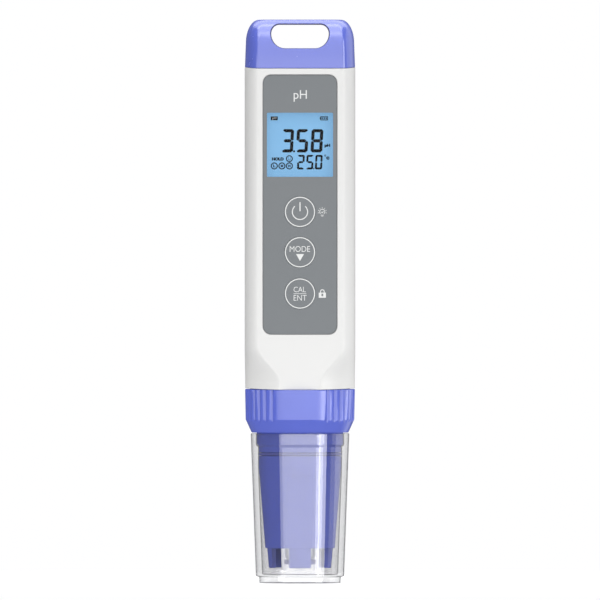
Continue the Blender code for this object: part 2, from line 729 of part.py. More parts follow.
def collar_ring(radius, z, depth=0.0):
    ring = []
    for angle, share in collar_stations():
        r = radius - depth * share
        ring.append((r * math.sin(angle), -r * math.cos(angle), z))
    return ring


def make_locking_collar():
    shoulder, run_out, lip_top = 54.6 * MM, 53.6 * MM, 52.4 * MM
    low_radius, shoulder_radius, top_radius = 16.2 * MM, 18.15 * MM, NECK_CIRCLE
    slope = (shoulder_radius - low_radius) / (shoulder - COLLAR_BOTTOM)
    run_radius = low_radius + slope * (run_out - COLLAR_BOTTOM)
    rings = [collar_ring(low_radius, COLLAR_BOTTOM),
             collar_ring(run_radius, run_out),
             collar_ring(shoulder_radius, shoulder, GROOVE_DEPTH * 0.75),
             collar_ring(top_radius, COLLAR_TOP - RIM, GROOVE_DEPTH),
             collar_ring(top_radius - RIM, COLLAR_TOP, GROOVE_DEPTH - RIM),
             collar_ring(COLLAR_BORE, COLLAR_TOP), collar_ring(COLLAR_BORE, lip_top),
             collar_ring(COLLAR_LIP, lip_top), collar_ring(COLLAR_LIP, COLLAR_BOTTOM)]
    collar = add_object("locking_collar", loft_mesh("locking_collar", rings, wrap=True),
                        plastic("collar_blue", BLUE, 0.35))
    ridge = thread_mesh("collar_thread", COLLAR_BORE + 0.3 * MM, COLLAR_CREST,
                        THREAD_START + THREAD_PITCH / 2)
    combine(collar, join_tool("collar_thread", ridge), "UNION")
    return smooth(collar)


# ---- probe --------------------------------------------------------------------------------
def make_probe_housing():
    """Hollow blue body: spigot, flange, neck, grooved cylinder, cone and guard tines."""
    spigot, flange, neck = 12.9 * MM, 15.3 * MM, 14.45 * MM
    groove, tine_top, tine_end = 12.9 * MM, 10.95 * MM, 10.4 * MM
    guard_bore, upper_bore = 8.6 * MM, 11.0 * MM
    profile = [(spigot, 62.0 * MM), (spigot, 54.7 * MM), (flange, 54.7 * MM),
               (flange, 52.7 * MM), (neck, 52.7 * MM), (neck, 46.5 * MM),
               (CYLINDER_RADIUS, 45.6 * MM), (CYLINDER_RADIUS, 43.6 * MM),
               (groove, 43.6 * MM), (groove, 42.4 * MM), (CYLINDER_RADIUS, 42.4 * MM),
               (CYLINDER_RADIUS, CONE_TOP), (CONE_END_RADIUS, SKIRT_EDGE),
               (tine_top, SKIRT_EDGE), (tine_end, TINE_BOTTOM),
               (guard_bore, TINE_BOTTOM), (guard_bore, 40.0 * MM),
               (upper_bore, 44.0 * MM), (upper_bore, 62.0 * MM)]
    housing = turned("probe_housing", profile, plastic("probe_blue", BLUE, 0.35))
    for tool in tine_gap_cutters() + tine_face_cutters():
        combine(housing, tool)
    return housing


def tine_gap_cutters():
    """Openings between the narrow front and back tines and the broad side ones."""
    narrow, rear_broad = 3.6 * MM, 6.2 * MM
    left_broad, right_broad = 9.4 * MM, 10.45 * MM
    far, front_from, low = 20.0 * MM, -3.0 * MM, TINE_BOTTOM - MM
    spans = {"front_left": (-left_broad, -narrow, -far, front_from),
             "front_right": (narrow, right_broad, -far, front_from),
             "rear_left": (-rear_broad, -narrow, 0.0, far),
             "rear_right": (narrow, rear_broad, 0.0, far)}
    return [box_cutter("tine_gap_" + name, (x0, y0, low), (x1, y1, SKIRT_EDGE))
            for name, (x0, x1, y0, y1) in spans.items()]


def tine_face_cutters():
    """Flats, front and back, that lean with the cone and make flat-faced bars."""
    top, depth, low = 36.0 * MM, 0.65 * MM, TINE_BOTTOM - MM
    lean = (CYLINDER_RADIUS - CONE_END_RADIUS) / (CONE_TOP - SKIRT_EDGE)
    top_y = CYLINDER_RADIUS - lean * (CONE_TOP - top) - depth
    low_y = top_y - lean * (top - low)
    far, half = 16.0 * MM, 5.5 * MM
    tools = []
    for face in (-1, 1):
        rings = [[(-half, face * y, z), (half, face * y, z),
                  (half, face * far, z), (-half, face * far, z)]
                 for y, z in ((low_y, low), (top_y, top))]
        name = "tine_face_front" if face < 0 else "tine_face_rear"
        tools.append(hide_cutter(add_object(name, loft_mesh(name, rings), None,
                                            collection=CUTTERS)))
    return tools


def make_glass_electrode():
    """Thin glass tube, open at the top, that ends in the sensing bulb."""
    bulb, tube, wall = 5.1 * MM, 4.8 * MM, 0.5 * MM
    low, dome, high = 6.2 * MM, 3.2 * MM, 42.0 * MM
    steps = 5
    turns = [math.pi / 2 * step / steps for step in range(steps + 1)]
    inner = [((bulb - wall) * math.sin(t), low + dome - (dome - wall) * math.cos(t))
             for t in turns]
    outer = [(bulb * math.sin(t), low + dome - dome * math.cos(t)) for t in reversed(turns)]
    sides = [(bulb - wall, 11.5 * MM), (tube - wall, 14.0 * MM), (tube - wall, high),
             (tube, high), (tube, 14.0 * MM), (bulb, 11.5 * MM)]
    return turned("glass_electrode", inner + sides + outer,
                  plastic("glass", GLASS, 0.03, 0.0, 1.0), FINE_ROUND, closed=False)


def make_probe_inside():
    """Silver wire, reference junction and temperature sensor, held in a potted seat."""
    turned("silver_wire", disc_profile(0.5 * MM, 9.0 * MM, 45.0 * MM),
           plastic("silver", (0.85, 0.85, 0.85), 0.2, 1.0), 12, False)
    turned("reference_junction", disc_profile(0.8 * MM, 22.0 * MM, 38.0 * MM),
           plastic("ceramic", (0.9, 0.9, 0.86), 0.8), 12, False, (0.0, SENSOR_Y, 0.0))
    turned("temperature_sensor", disc_profile(0.8 * MM, 9.5 * MM, 38.0 * MM),
           plastic("sensor_steel", STEEL, 0.3, 1.0), 12, False, (0.0, -SENSOR_Y, 0.0))
    low, high, outer, inner = 24.5 * MM, 37.0 * MM, 8.3 * MM, 5.1 * MM
    profile = [(outer, high), (outer, low), (inner, low), (inner, high)]
    seat = turned("electrode_seat", profile, plastic("potting_dark", (0.08, 0.09, 0.12), 0.6),
                  FINE_ROUND)
    for name, y in (("seat_hole_junction", SENSOR_Y), ("seat_hole_sensor", -SENSOR_Y)):
        combine(seat, rod_cutter(name, 1.05 * MM, low - MM, high + MM, (0.0, y), segments=12))


def contact_places():
    """The four contacts of the probe's plug, as (x, y)."""
    radius = 3.6 * MM
    return [(radius * math.cos(a), radius * math.sin(a))
            for a in (math.pi / 4 + math.pi / 2 * i for i in range(4))]


def make_probe_plug():
    plug = turned("probe_plug", disc_profile(10.7 * MM, 57.0 * MM, 60.0 * MM),
                  plastic("plug_black", (0.04, 0.04, 0.05), 0.5), FINE_ROUND, False)
    for index, (x, y) in enumerate(contact_places()):
        bm = bmesh.new()
        bmesh.ops.create_cone(bm, cap_ends=True, segments=10, radius1=0.5 * MM,
                              radius2=0.5 * MM, depth=9.0 * MM)
        bmesh.ops.translate(bm, verts=bm.verts, vec=(x, y, 63.5 * MM))
        name = "plug_pin_%d" % (index + 1)
        combine(plug, join_tool(name, mesh_from(name, bm)), "UNION")
    return plug


def make_probe_socket():
    """Fixed half of the probe's connector, dropped through the neck's web."""
    body, flange = 7.0 * MM, 8.6 * MM
    low, step, high = 61.0 * MM, 71.8 * MM, 73.0 * MM
    profile = [(0.0, high), (flange, high), (flange, step), (body, step), (body, low),
               (0.0, low)]
    socket = turned("probe_socket", profile, plastic("socket_black", (0.04, 0.04, 0.05), 0.5),
                    FINE_ROUND, False)
    for index, (x, y) in enumerate(contact_places()):
        combine(socket, rod_cutter("socket_hole_%d" % (index + 1), 0.8 * MM, low - MM,
                                   68.6 * MM, (x, y), segments=10))
    return socket


def make_probe_ribbon():
    """Flat flexible lead from the socket up to the back of the board."""
    half, thick = 4.0 * MM, 0.3 * MM
    board_back = BOARD_FRONT + BOARD_THICK + GAP
    path = [(-1.0 * MM, 73.3 * MM), (-1.0 * MM, 76.0 * MM), (-2.5 * MM, 80.0 * MM),
            (board_back + 0.5 * MM, 84.0 * MM), (board_back, 87.0 * MM),
            (board_back, 94.0 * MM)]
    rings = [[(-half, y, z), (half, y, z), (half, y + thick, z), (-half, y + thick, z)]
             for y, z in path]
    return add_object("probe_ribbon", loft_mesh("probe_ribbon", rings),
                      plastic("ribbon_amber", (0.55, 0.30, 0.05), 0.4))


def make_seals():
    rubber = plastic("probe_seal_rubber", RUBBER, 0.7)
    ring_seal("probe_seal", 13.8 * MM, 0.65 * MM, 55.6 * MM, rubber)
    ring_seal("storage_seal", 13.5 * MM, 0.45 * MM, 43.0 * MM,
              plastic("storage_seal_rubber", BLUE, 0.6))


# ---- clear storage cap --------------------------------------------------------------------
def make_storage_cap():
    """Clear tapered cup with a stepped foot; its mouth slides over the probe's seal."""
    seat, mouth, rim_radius, edge = 14.05 * MM, 14.75 * MM, 16.45 * MM, 0.2 * MM
    wall_end, foot, sole = 14.78 * MM, 13.6 * MM, 13.42 * MM
    inside = [(0.0, CUP_FLOOR), (12.4 * MM, CUP_FLOOR), (12.85 * MM, CUP_FLOOR + 0.45 * MM),
              (seat, 39.0 * MM), (seat, 45.4 * MM), (mouth, 46.0 * MM),
              (mouth, CUP_TOP - edge)]
    rim = [(mouth + edge, CUP_TOP), (rim_radius - edge, CUP_TOP), (rim_radius, CUP_TOP - edge)]
    outside = [(wall_end, 4.3 * MM), (wall_end, 2.8 * MM), (wall_end - 0.3 * MM, 2.3 * MM),
               (foot + 0.15 * MM, 1.95 * MM), (foot, 1.6 * MM), (foot - 0.05 * MM, edge),
               (sole, 0.0), (0.0, 0.0)]
    return turned("storage_cap", inside + rim + outside,
                  plastic("cup_clear", GLASS, 0.05, 0.0, 1.0), closed=False)


# ---- assembly -----------------------------------------------------------------------------
def travel_with(hub_name, names, parent=None):
    """Parent the named pieces to an empty on the pen's axis, the axis of their joint."""
    hub = bpy.data.objects.new(hub_name, None)
    PARTS.objects.link(hub)
    hub.parent = parent
    for name in names:
        bpy.data.objects[name].parent = hub
    return hub


def assemble():
    """Pen out of its storage cap, body off the probe, battery cap off the body."""
    probe = travel_with("probe_lift", ["probe_housing", "glass_electrode", "silver_wire",
                                       "reference_junction", "temperature_sensor",
                                       "electrode_seat", "probe_plug", "probe_seal",
                                       "storage_seal"])
    travel_with("collar_turn", ["locking_collar"], probe)
    lid = ["battery_cap", "cap_seal", "contact_bridge", "bridge_carrier"]
    fixed = [obj.name for obj in PARTS.objects
             if obj.parent is None and obj != probe and obj.name not in lid + ["storage_cap"]]
    body = travel_with("body_lift", fixed, probe)
    travel_with("battery_cap_pull", lid, body)


def build():
    make_main_shell()
    make_threaded_neck()
    make_overlay_panel()
    make_display_window()
    for name, z in KEY_HEIGHTS.items():
        make_key(name, z)
        make_switch(name, z)
    make_display_frame()
    make_display_parts()
    make_main_board()
    make_chips()
    make_board_screws()
    make_battery_holder()
    make_cells()
    make_battery_contacts()
    make_battery_cap()
    make_cap_seal()
    make_contact_bridge()
    make_bridge_carrier()
    make_locking_collar()
    make_probe_housing()
    make_glass_electrode()
    make_probe_inside()
    make_probe_plug()
    make_probe_socket()
    make_probe_ribbon()
    make_seals()
    make_storage_cap()
    assemble()


clear_scene()
PARTS = new_collection("digital_ph_meter")
CUTTERS = new_collection("cutters")
build()
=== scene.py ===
"""Looks of a pen-style digital pH meter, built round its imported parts.

Frame: +Z up the pen, +Y away from the display, +X to the right of someone reading it.
Lengths are metres; only the marks on the front are drawn in millimetres. Heights and outer
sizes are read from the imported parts.
"""
import math

import bmesh
import bpy
from mathutils import Matrix, Vector


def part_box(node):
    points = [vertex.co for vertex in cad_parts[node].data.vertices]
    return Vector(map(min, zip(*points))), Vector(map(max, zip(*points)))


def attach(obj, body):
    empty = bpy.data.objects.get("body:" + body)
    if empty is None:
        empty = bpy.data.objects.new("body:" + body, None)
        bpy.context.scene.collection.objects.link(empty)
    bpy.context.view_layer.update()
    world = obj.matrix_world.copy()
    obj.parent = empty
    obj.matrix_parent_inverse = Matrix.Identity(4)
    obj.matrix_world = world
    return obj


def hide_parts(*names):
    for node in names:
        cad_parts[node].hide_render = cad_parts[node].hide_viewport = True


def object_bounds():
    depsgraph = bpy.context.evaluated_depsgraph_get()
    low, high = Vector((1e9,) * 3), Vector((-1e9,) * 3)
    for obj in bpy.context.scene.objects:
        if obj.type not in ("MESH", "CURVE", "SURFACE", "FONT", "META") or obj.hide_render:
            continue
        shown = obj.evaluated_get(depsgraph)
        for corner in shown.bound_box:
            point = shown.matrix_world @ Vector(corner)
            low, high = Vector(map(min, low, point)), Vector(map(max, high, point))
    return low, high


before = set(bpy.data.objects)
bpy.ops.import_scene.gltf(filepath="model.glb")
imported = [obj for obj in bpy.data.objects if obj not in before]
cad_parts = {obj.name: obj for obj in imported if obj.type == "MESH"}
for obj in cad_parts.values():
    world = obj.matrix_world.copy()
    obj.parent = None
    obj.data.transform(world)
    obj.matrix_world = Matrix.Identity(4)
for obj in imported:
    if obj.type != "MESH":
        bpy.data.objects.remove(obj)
CAD_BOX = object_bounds()

MM = 0.001


def middle(low, high):
    return (low.z + high.z) / 2


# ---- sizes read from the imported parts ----
SHELL_LOW, SHELL_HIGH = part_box("main_shell")
CAP_LOW, CAP_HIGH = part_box("battery_cap")
COLLAR_LOW, COLLAR_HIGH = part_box("locking_collar")
PANEL_LOW, PANEL_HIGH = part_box("overlay_panel")
PANEL_HIGH.z -= 0.35 * MM           # the film stops a little short of its recess
WINDOW_LOW, WINDOW_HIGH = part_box("display_window")
CUP_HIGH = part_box("storage_cap")[1]
PROBE_LOW, PROBE_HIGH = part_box("probe_housing")
GLASS_LOW, GLASS_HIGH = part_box("glass_electrode")

HALF_WIDTH = SHELL_HIGH.x
FRONT = SHELL_LOW.y
HALF_DEPTH = -FRONT
SHELL_BOTTOM = SHELL_LOW.z
SHELL_TOP = SHELL_HIGH.z
PEN_TOP = CAP_HIGH.z
PANEL_FRONT = PANEL_LOW.y
PANEL_BACK = PANEL_HIGH.y
PANEL_Z = middle(PANEL_LOW, PANEL_HIGH)
PANEL_HALF_HEIGHT = (PANEL_HIGH.z - PANEL_LOW.z) / 2
WINDOW_Z = middle(WINDOW_LOW, WINDOW_HIGH)
LCD_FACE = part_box("lcd_glass")[0].y
COLLAR_RADIUS = COLLAR_HIGH.x
KEY_CENTRES = {name: middle(*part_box(name + "_key")) for name in ("power", "mode", "cal")}
KEY_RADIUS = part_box("power_key")[1].x
KEY_BACK = PANEL_FRONT + 0.6 * MM

# ---- sizes that the boxes don't give ----
SEAM = 0.08 * MM                    # the fine line that shows between two closed pieces
RIM_LIFT = 0.25 * MM                # how far the shell's upper rim rises at its sides
CAP_BOTTOM = SHELL_TOP + RIM_LIFT + SEAM
FIT_GAP = 0.3 * MM                  # between the battery cap's skirt and the shell
BODY_FLAT = 13.85 * MM              # half width of the flat front
BODY_STRAIGHT = 5.15 * MM           # half length of the straight side
NECK_CIRCLE = 18.35 * MM
NECK_STRAIGHT_ANGLE = math.radians(4.0)
BLEND_START = 66.8 * MM             # the round neck blends into the flat body
BLEND_END = 79.0 * MM
BORE = 15.5 * MM
BORE_TOP = 72.0 * MM
SHELL_WALL = 2.1 * MM
THICK_WALL = 3.3 * MM
RIM = 0.35 * MM                     # rounding of the rims that show
EASE = 0.2 * MM                     # rounding of the edges that hide
TOP_DIP = 0.6 * MM                  # the shell's rims curve down towards the front and back
LOW_DIP = 0.45 * MM
COLLAR_DIP = 0.3 * MM               # the collar's rim nearly follows the shell's
COLLAR_STEP = HALF_DEPTH - 0.5 * MM    # radius of the collar's step; the shell's rim laps over it
FLANK_STEPS = 22
PANEL_CORNER = 2.9 * MM
SIGHT_HALF_WIDTH = 11.0 * MM        # the opening in the panel over the display
SIGHT_HALF_HEIGHT = 10.675 * MM
ROUND = 128


# ---- node materials ----
def srgb(red, green, blue):
    """An 8-bit screen colour as the linear colour that shaders take."""
    def linear(value):
        share = value / 255.0
        return share / 12.92 if share <= 0.04045 else ((share + 0.055) / 1.055) ** 2.4
    return (linear(red), linear(green), linear(blue), 1.0)


def scaled(colour, factor):
    return (*(min(channel * factor, 1.0) for channel in colour[:3]), 1.0)


def feed(made, socket, value):
    """Link the value into a node's socket if it is another node's output, or else set it."""
    if isinstance(value, bpy.types.NodeSocket):
        made.id_data.links.new(value, made.inputs[socket])
    else:
        made.inputs[socket].default_value = value


def node(tree, kind, *leading, **named):
    """A shader node fed in socket order, then by socket name; other names are its settings."""
    made = tree.nodes.new("ShaderNode" + kind)
    for key, value in named.items():
        socket = key.replace("_", " ")
        if socket in made.inputs:
            feed(made, socket, value)
        else:
            setattr(made, key, value)
    for i, value in enumerate(leading):
        feed(made, i, value)
    return made


def new_material(name, **sockets):
    """A Principled material and its node tree; the sockets take plain values."""
    material = bpy.data.materials.new(name)
    material.use_nodes = True
    shader = material.node_tree.nodes["Principled BSDF"]
    for key, value in sockets.items():
        feed(shader, key.replace("_", " "), value)
    return material, material.node_tree, shader


def place_vector(tree):
    return node(tree, "TexCoord").outputs["Object"]


def noise(tree, size, detail=2.0):
    """Noise whose blotches are about the given size across."""
    return node(tree, "TexNoise", place_vector(tree), Scale=1.0 / size,
                Detail=detail).outputs["Fac"]


def span(tree, value, low, high, start=0.0, end=1.0):
    """The value mapped from start..end to low..high."""
    return node(tree, "MapRange", value, start, end, low, high).outputs["Result"]


def distance(tree, place):
    return node(tree, "VectorMath", place, operation="LENGTH").outputs["Value"]


def tint(tree, factor, first, second):
    """A colour between the two."""
    made = node(tree, "Mix", factor, data_type="RGBA")
    made.inputs[6].default_value = first
    made.inputs[7].default_value = second
    return made.outputs[2]


def uneven_gloss(shader, size, low, high, detail=2.0):
    tree = shader.id_data
    feed(shader, "Roughness", span(tree, noise(tree, size, detail), low, high))


def bump(shader, height, relief):
    made = node(shader.id_data, "Bump", Distance=relief, Height=height)
    feed(shader, "Normal", made.outputs["Normal"])


def show_through(shader, share, colour=(1.0, 1.0, 1.0, 1.0)):
    """Let what is behind show in the given colour where share is 0."""
    tree = shader.id_data
    through = node(tree, "BsdfTransparent", colour)
    both = node(tree, "MixShader", share, through.outputs[0], shader.outputs[0])
    feed(tree.nodes["Material Output"], "Surface", both.outputs[0])


def moulded(name, colour, roughness, drift=0.025, grain=0.3, relief=0.002, **sockets):
    """Plastic or rubber: a slight drift of colour, uneven gloss and a grain sized in mm."""
    material, tree, shader = new_material(name, **sockets)
    feed(shader, "Base Color", tint(tree, span(tree, noise(tree, 9 * MM), -0.3, 1.3),
                                    scaled(colour, 1 - drift), scaled(colour, 1 + drift)))
    uneven_gloss(shader, 2.5 * MM, roughness - 0.05, roughness + 0.05)
    bump(shader, noise(tree, grain * MM), relief * MM)
    return material


def glossy_blue(name, roughness, **sockets):
    return moulded(name, BLUE, roughness, 0.02, relief=0.0006, **sockets)


def display_ink(name, colour, drift):
    return moulded(name, colour, 0.4, drift, 0.2, 0.0, Specular_IOR_Level=0.1)


def metal(name, colour, roughness=0.28):
    """Drawn or turned metal with fine scratches and a slight tarnish."""
    material, tree, shader = new_material(name, Metallic=1.0)
    feed(shader, "Base Color", tint(tree, noise(tree, 3 * MM, 4.0), scaled(colour, 0.82), colour))
    uneven_gloss(shader, 0.8 * MM, roughness - 0.1, roughness + 0.12, 3.0)
    bump(shader, noise(tree, 0.15 * MM), 0.004 * MM)
    return material


def clear(name, face, edge, gloss_face=0.04, sharpness=3.0, rough=0.04):
    """A thin clear wall: what is behind shows through it, greyer and shinier towards its edge."""
    material, tree, shader = new_material(name, Metallic=1.0, Base_Color=(1.0, 1.0, 1.0, 1.0))
    uneven_gloss(shader, 6 * MM, rough, rough * 2.0)
    facing = node(tree, "LayerWeight", Blend=0.5).outputs["Facing"]
    rise = node(tree, "Math", facing, sharpness, operation="POWER").outputs[0]
    show_through(shader, span(tree, rise, gloss_face, 0.75),
                 tint(tree, rise, (*face, 1.0), (*edge, 1.0)))
    return material


def lcd_material():
    """Blue backlit display: a little brighter in the middle, very slightly mottled."""
    material, tree, shader = new_material("lcd_blue_lit", Specular_IOR_Level=0.1,
                                          Emission_Strength=0.58)
    centred = node(tree, "Mapping", place_vector(tree), Location=(0.0, 0.0, -WINDOW_Z))
    away = span(tree, distance(tree, centred.outputs[0]), 0.0, 1.0, 12 * MM, 24 * MM)
    for socket, share in (("Base Color", 0.42), ("Emission Color", 1.0)):
        feed(shader, socket, tint(tree, away, scaled(srgb(138, 192, 235), share),
                                  scaled(srgb(135, 188, 230), share)))
    uneven_gloss(shader, 0.2 * MM, 0.3, 0.42)
    return material


def board_material():
    """Solder mask over copper tracks, which show as paler lines."""
    material, tree, shader = new_material("board_green_mask", Roughness=0.4)
    upright = node(tree, "Mapping", place_vector(tree), Rotation=(math.radians(90.0), 0.0, 0.0))
    bricks = node(tree, "TexBrick", upright.outputs[0], Scale=1.0 / (9 * MM), Mortar_Size=0.03,
                  Color1=srgb(18, 92, 52), Color2=srgb(22, 102, 58), Mortar=srgb(60, 140, 84))
    feed(shader, "Base Color", bricks.outputs["Color"])
    bump(shader, bricks.outputs["Fac"], 0.02 * MM)
    return material


def sleeve_material(name, bottom):
    """Printed sleeve of a cell: dark, with a bright band above the given height."""
    material, tree, shader = new_material(name, Metallic=0.35)
    height = node(tree, "SeparateXYZ", place_vector(tree)).outputs["Z"]
    step = node(tree, "Math", height, bottom, operation="GREATER_THAN").outputs[0]
    feed(shader, "Base Color", tint(tree, step, srgb(36, 40, 44), srgb(196, 128, 62)))
    uneven_gloss(shader, 2 * MM, 0.24, 0.36)
    bump(shader, noise(tree, 0.4 * MM), 0.003 * MM)
    return material


def stripes_material():
    """Contact strip: thin conducting layers between soft rubber ones."""
    material, tree, shader = new_material("strip_layers", Roughness=0.7)
    wave = node(tree, "TexWave", place_vector(tree), Scale=1.0 / (1.2 * MM)).outputs["Fac"]
    feed(shader, "Base Color", tint(tree, wave, srgb(60, 40, 40), srgb(176, 104, 104)))
    return material


BLUE = (0.085, 0.122, 0.57, 1.0)
FINISH = {
    "cap": glossy_blue("cap_blue_plastic", 0.25, Specular_IOR_Level=1.0, IOR=1.75),
    "collar": glossy_blue("collar_blue_plastic", 0.2, Specular_IOR_Level=0.9, IOR=1.7),
    "probe": glossy_blue("probe_blue_plastic", 0.24, Specular_IOR_Level=0.7),
    "segment": display_ink("lcd_segment_ink", srgb(8, 8, 12), 0.2),
    "symbol": display_ink("lcd_symbol_ink", srgb(8, 14, 24), 0.1),
    "lcd": lcd_material(),
    "steel": metal("bright_steel", srgb(208, 208, 204)),
    "brass": metal("contact_brass_plate", srgb(214, 178, 104)),
    "silver": metal("silver_wire_metal", srgb(226, 226, 224), 0.2),
    "board": board_material(),
    "strip": stripes_material(),
    "cup": clear("cup_clear_plastic", (0.945, 0.945, 0.95), (0.56, 0.57, 0.59), 0.14, 5.0, 0.015),
    "glass": clear("electrode_clear_glass", (0.95, 0.96, 0.97), (0.5, 0.54, 0.6)),
    "window": clear("window_clear_pane", (0.98, 0.98, 0.98), (0.8, 0.8, 0.8), 0.004),
}
for finish, name, colour, *look in (
        # roughness, drift of colour, size of the grain, its relief
        ("shell", "shell_white_plastic", (213, 213, 212), 0.34, 0.008, 0.35, 0.0015),
        ("white", "inner_white_plastic", (213, 213, 212), 0.45, 0.015),
        ("panel", "panel_grey_film", (114, 118, 121), 0.5, 0.008, 0.12),
        ("print", "panel_print_ink", (216, 217, 216), 0.55, 0.02, 0.08),
        ("black", "inner_black_plastic", (34, 35, 38), 0.48, 0.1, 0.2, 0.004),
        ("seal", "seal_dark_rubber", (44, 48, 74), 0.62, 0.06, 0.15, 0.004),
        ("o_ring", "o_ring_blue_rubber", (84, 92, 176), 0.5, 0.05, 0.15, 0.003),
        ("ceramic", "porous_ceramic", (232, 228, 214), 0.8, 0.06, 0.1, 0.01),
        ("potting", "potting_resin", (40, 44, 66), 0.4, 0.08, 0.5, 0.004),
        ("guide", "light_guide_acrylic", (214, 226, 236), 0.2, 0.02),
        ("ribbon", "ribbon_polyimide", (190, 122, 34), 0.3, 0.08, 0.4),
        ("chip", "chip_resin", (28, 29, 31), 0.55, 0.1, 0.15, 0.006)):
    FINISH[finish] = moulded(name, srgb(*colour), *look)


# ---- mesh tools ----
def sweep(first, last, steps):
    return [first + (last - first) * step / steps for step in range(steps + 1)]


def quarter(steps, first=0.0):
    return sweep(first, math.pi / 2, steps)


def round_edge(radius, steps, first=0.0):
    """(way in from the side, way down from the face) along a rounded edge, face first."""
    return [(radius * (1 - math.sin(turn)), radius * (1 - math.cos(turn)))
            for turn in quarter(steps, first)]


def plain_mesh(bm):
    mesh = bpy.data.meshes.new("mesh")
    bm.to_mesh(mesh)
    bm.free()
    return mesh


def closed_mesh(bm):
    bmesh.ops.recalc_face_normals(bm, faces=bm.faces)
    return plain_mesh(bm)


def skin(bm, rows, wrap=False):
    """Faces between rows of points, and over the end rows unless wrap joins them."""
    pairs = list(zip(rows, rows[1:]))
    if wrap:
        pairs.append((rows[-1], rows[0]))
    for low, high in pairs:
        for i in range(max(len(low), len(high))):
            j = i + 1
            corners = (low[i % len(low)], low[j % len(low)], high[j % len(high)],
                       high[i % len(high)])
            bm.faces.new(list(dict.fromkeys(corners)))
    for end in () if wrap else (rows[0][::-1], rows[-1]):
        if len(end) > 1:
            bm.faces.new(end)


def loft(rings, wrap=False):
    """Skin rings that have the same number of points; wrap joins the last to the first."""
    bm = bmesh.new()
    skin(bm, [[bm.verts.new(point) for point in ring] for ring in rings], wrap)
    return closed_mesh(bm)


def turned(profile, segments=ROUND, centre=(0.0, 0.0)):
    """Turn (radius, height) points about the upright line through centre."""
    bm = bmesh.new()
    angles = [2 * math.pi * i / segments for i in range(segments)]
    rows = [[bm.verts.new((centre[0] + radius * math.sin(a), centre[1] - radius * math.cos(a),
                           height)) for a in (angles if radius else angles[:1])]
            for radius, height in profile]
    skin(bm, rows, wrap=len(rows[0]) > 1)
    return closed_mesh(bm)


def rounded(corners, closed=False, steps=4):
    """A line through (u, v, radius) corners, each corner rounded to its radius."""
    points = []
    for i, (u, v, radius) in enumerate(corners):
        here = Vector((u, v))
        end = not closed and i in (0, len(corners) - 1)
        if radius <= 0.0 or end:
            points.append((u, v))
            continue
        back = Vector(corners[i - 1][:2]) - here
        ahead = Vector(corners[(i + 1) % len(corners)][:2]) - here
        half = back.angle(ahead) / 2
        reach = min(radius / math.tan(half), 0.49 * back.length, 0.49 * ahead.length)
        centre = here + (back.normalized() + ahead.normalized()).normalized() * (
            reach / math.cos(half))
        start = here + back.normalized() * reach - centre
        stop = here + ahead.normalized() * reach - centre
        turn = start.angle(stop)
        for share in sweep(0.0, 1.0, steps):
            arm = (start * math.sin((1 - share) * turn) + stop * math.sin(share * turn)
                   ) / math.sin(turn)
            points.append(tuple(centre + arm))
    return points


def linked(name, data):
    obj = bpy.data.objects.new(name, data)
    bpy.context.scene.collection.objects.link(obj)
    return obj


def settled(obj, *tools):
    """The object's final mesh; the object and its tools are removed."""
    bpy.context.view_layer.update()
    depsgraph = bpy.context.evaluated_depsgraph_get()
    mesh = bpy.data.meshes.new_from_object(obj.evaluated_get(depsgraph))
    for item in (obj, *tools):
        bpy.data.objects.remove(item, do_unlink=True)
    return mesh


def carve(mesh, cuts=(), joins=()):
    """The mesh with some shapes joined on and then others cut away."""
    obj = linked("blank", mesh)
    tools = []
    for operation, meshes in (("UNION", joins), ("DIFFERENCE", cuts)):
        for tool_mesh in meshes:
            tools.append(linked("tool", tool_mesh))
            boolean = obj.modifiers.new("carve", "BOOLEAN")
            boolean.operation = operation
            boolean.solver = "EXACT"
            boolean.object = tools[-1]
    return settled(obj, *tools)


def piece(name, mesh, finish, body, stands_for=(), sharp=32.0):
    """Show a mesh as a piece of the meter: its finish, its shading and the body it rides on."""
    mesh.name = name
    mesh.materials.clear()
    mesh.materials.append(FINISH[finish])
    mesh.shade_smooth()
    mesh.set_sharp_from_angle(angle=math.radians(sharp))
    obj = linked(name, mesh)
    obj.modifiers.new("even_shading", "WEIGHTED_NORMAL").keep_sharp = True
    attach(obj, body)
    if stands_for:
        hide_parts(*stands_for)


# ---- outlines on the front ----
def rectangle(half_width, half_height, corner, z, steps=10):
    """outline(grow) of a rounded rectangle about (0, z), as (x, z) points."""
    def outline(grow=0.0):
        wide, high = half_width + grow, half_height + grow
        radius = max(corner + grow, 0.01 * MM)
        corners = [(-wide, z - high, radius), (wide, z - high, radius),
                   (wide, z + high, radius), (-wide, z + high, radius)]
        return rounded(corners, True, steps)
    return outline


def circle(radius, z=0.0, x=0.0, steps=72):
    return [(x + radius * math.cos(2 * math.pi * i / steps),
             z + radius * math.sin(2 * math.pi * i / steps)) for i in range(steps)]


def disc(radius, z):
    """outline(grow) of a circle about (0, z)."""
    return lambda grow: circle(radius + grow, z)


def front_cutter(outline, face, floor, ease):
    """A cutter from in front of the face back to the floor, its mouth rounded over by ease."""
    rows = [(1.24 * ease, -MM), (1.24 * ease, -0.1 * ease)]
    rows += round_edge(ease, 5, math.radians(15.0)) + [(0.0, floor - face)]
    return loft([[(x, face + depth, z) for x, z in outline(grow)] for grow, depth in rows])


def front_plate(outline, front, back, ease):
    """A plate with its front edge rounded over by ease."""
    rows = [(-inset, front + depth) for inset, depth in round_edge(ease, 4)] + [(0.0, back)]
    return loft([[(x, y, z) for x, z in outline(grow)] for grow, y in rows])


# ---- body section ----
def upper_quarter(half_width, half_depth, flat, straight):
    return [(flat + (half_width - flat) * math.sin(turn),
             -(straight + (half_depth - straight) * math.cos(turn)))
            for turn in quarter(FLANK_STEPS)]


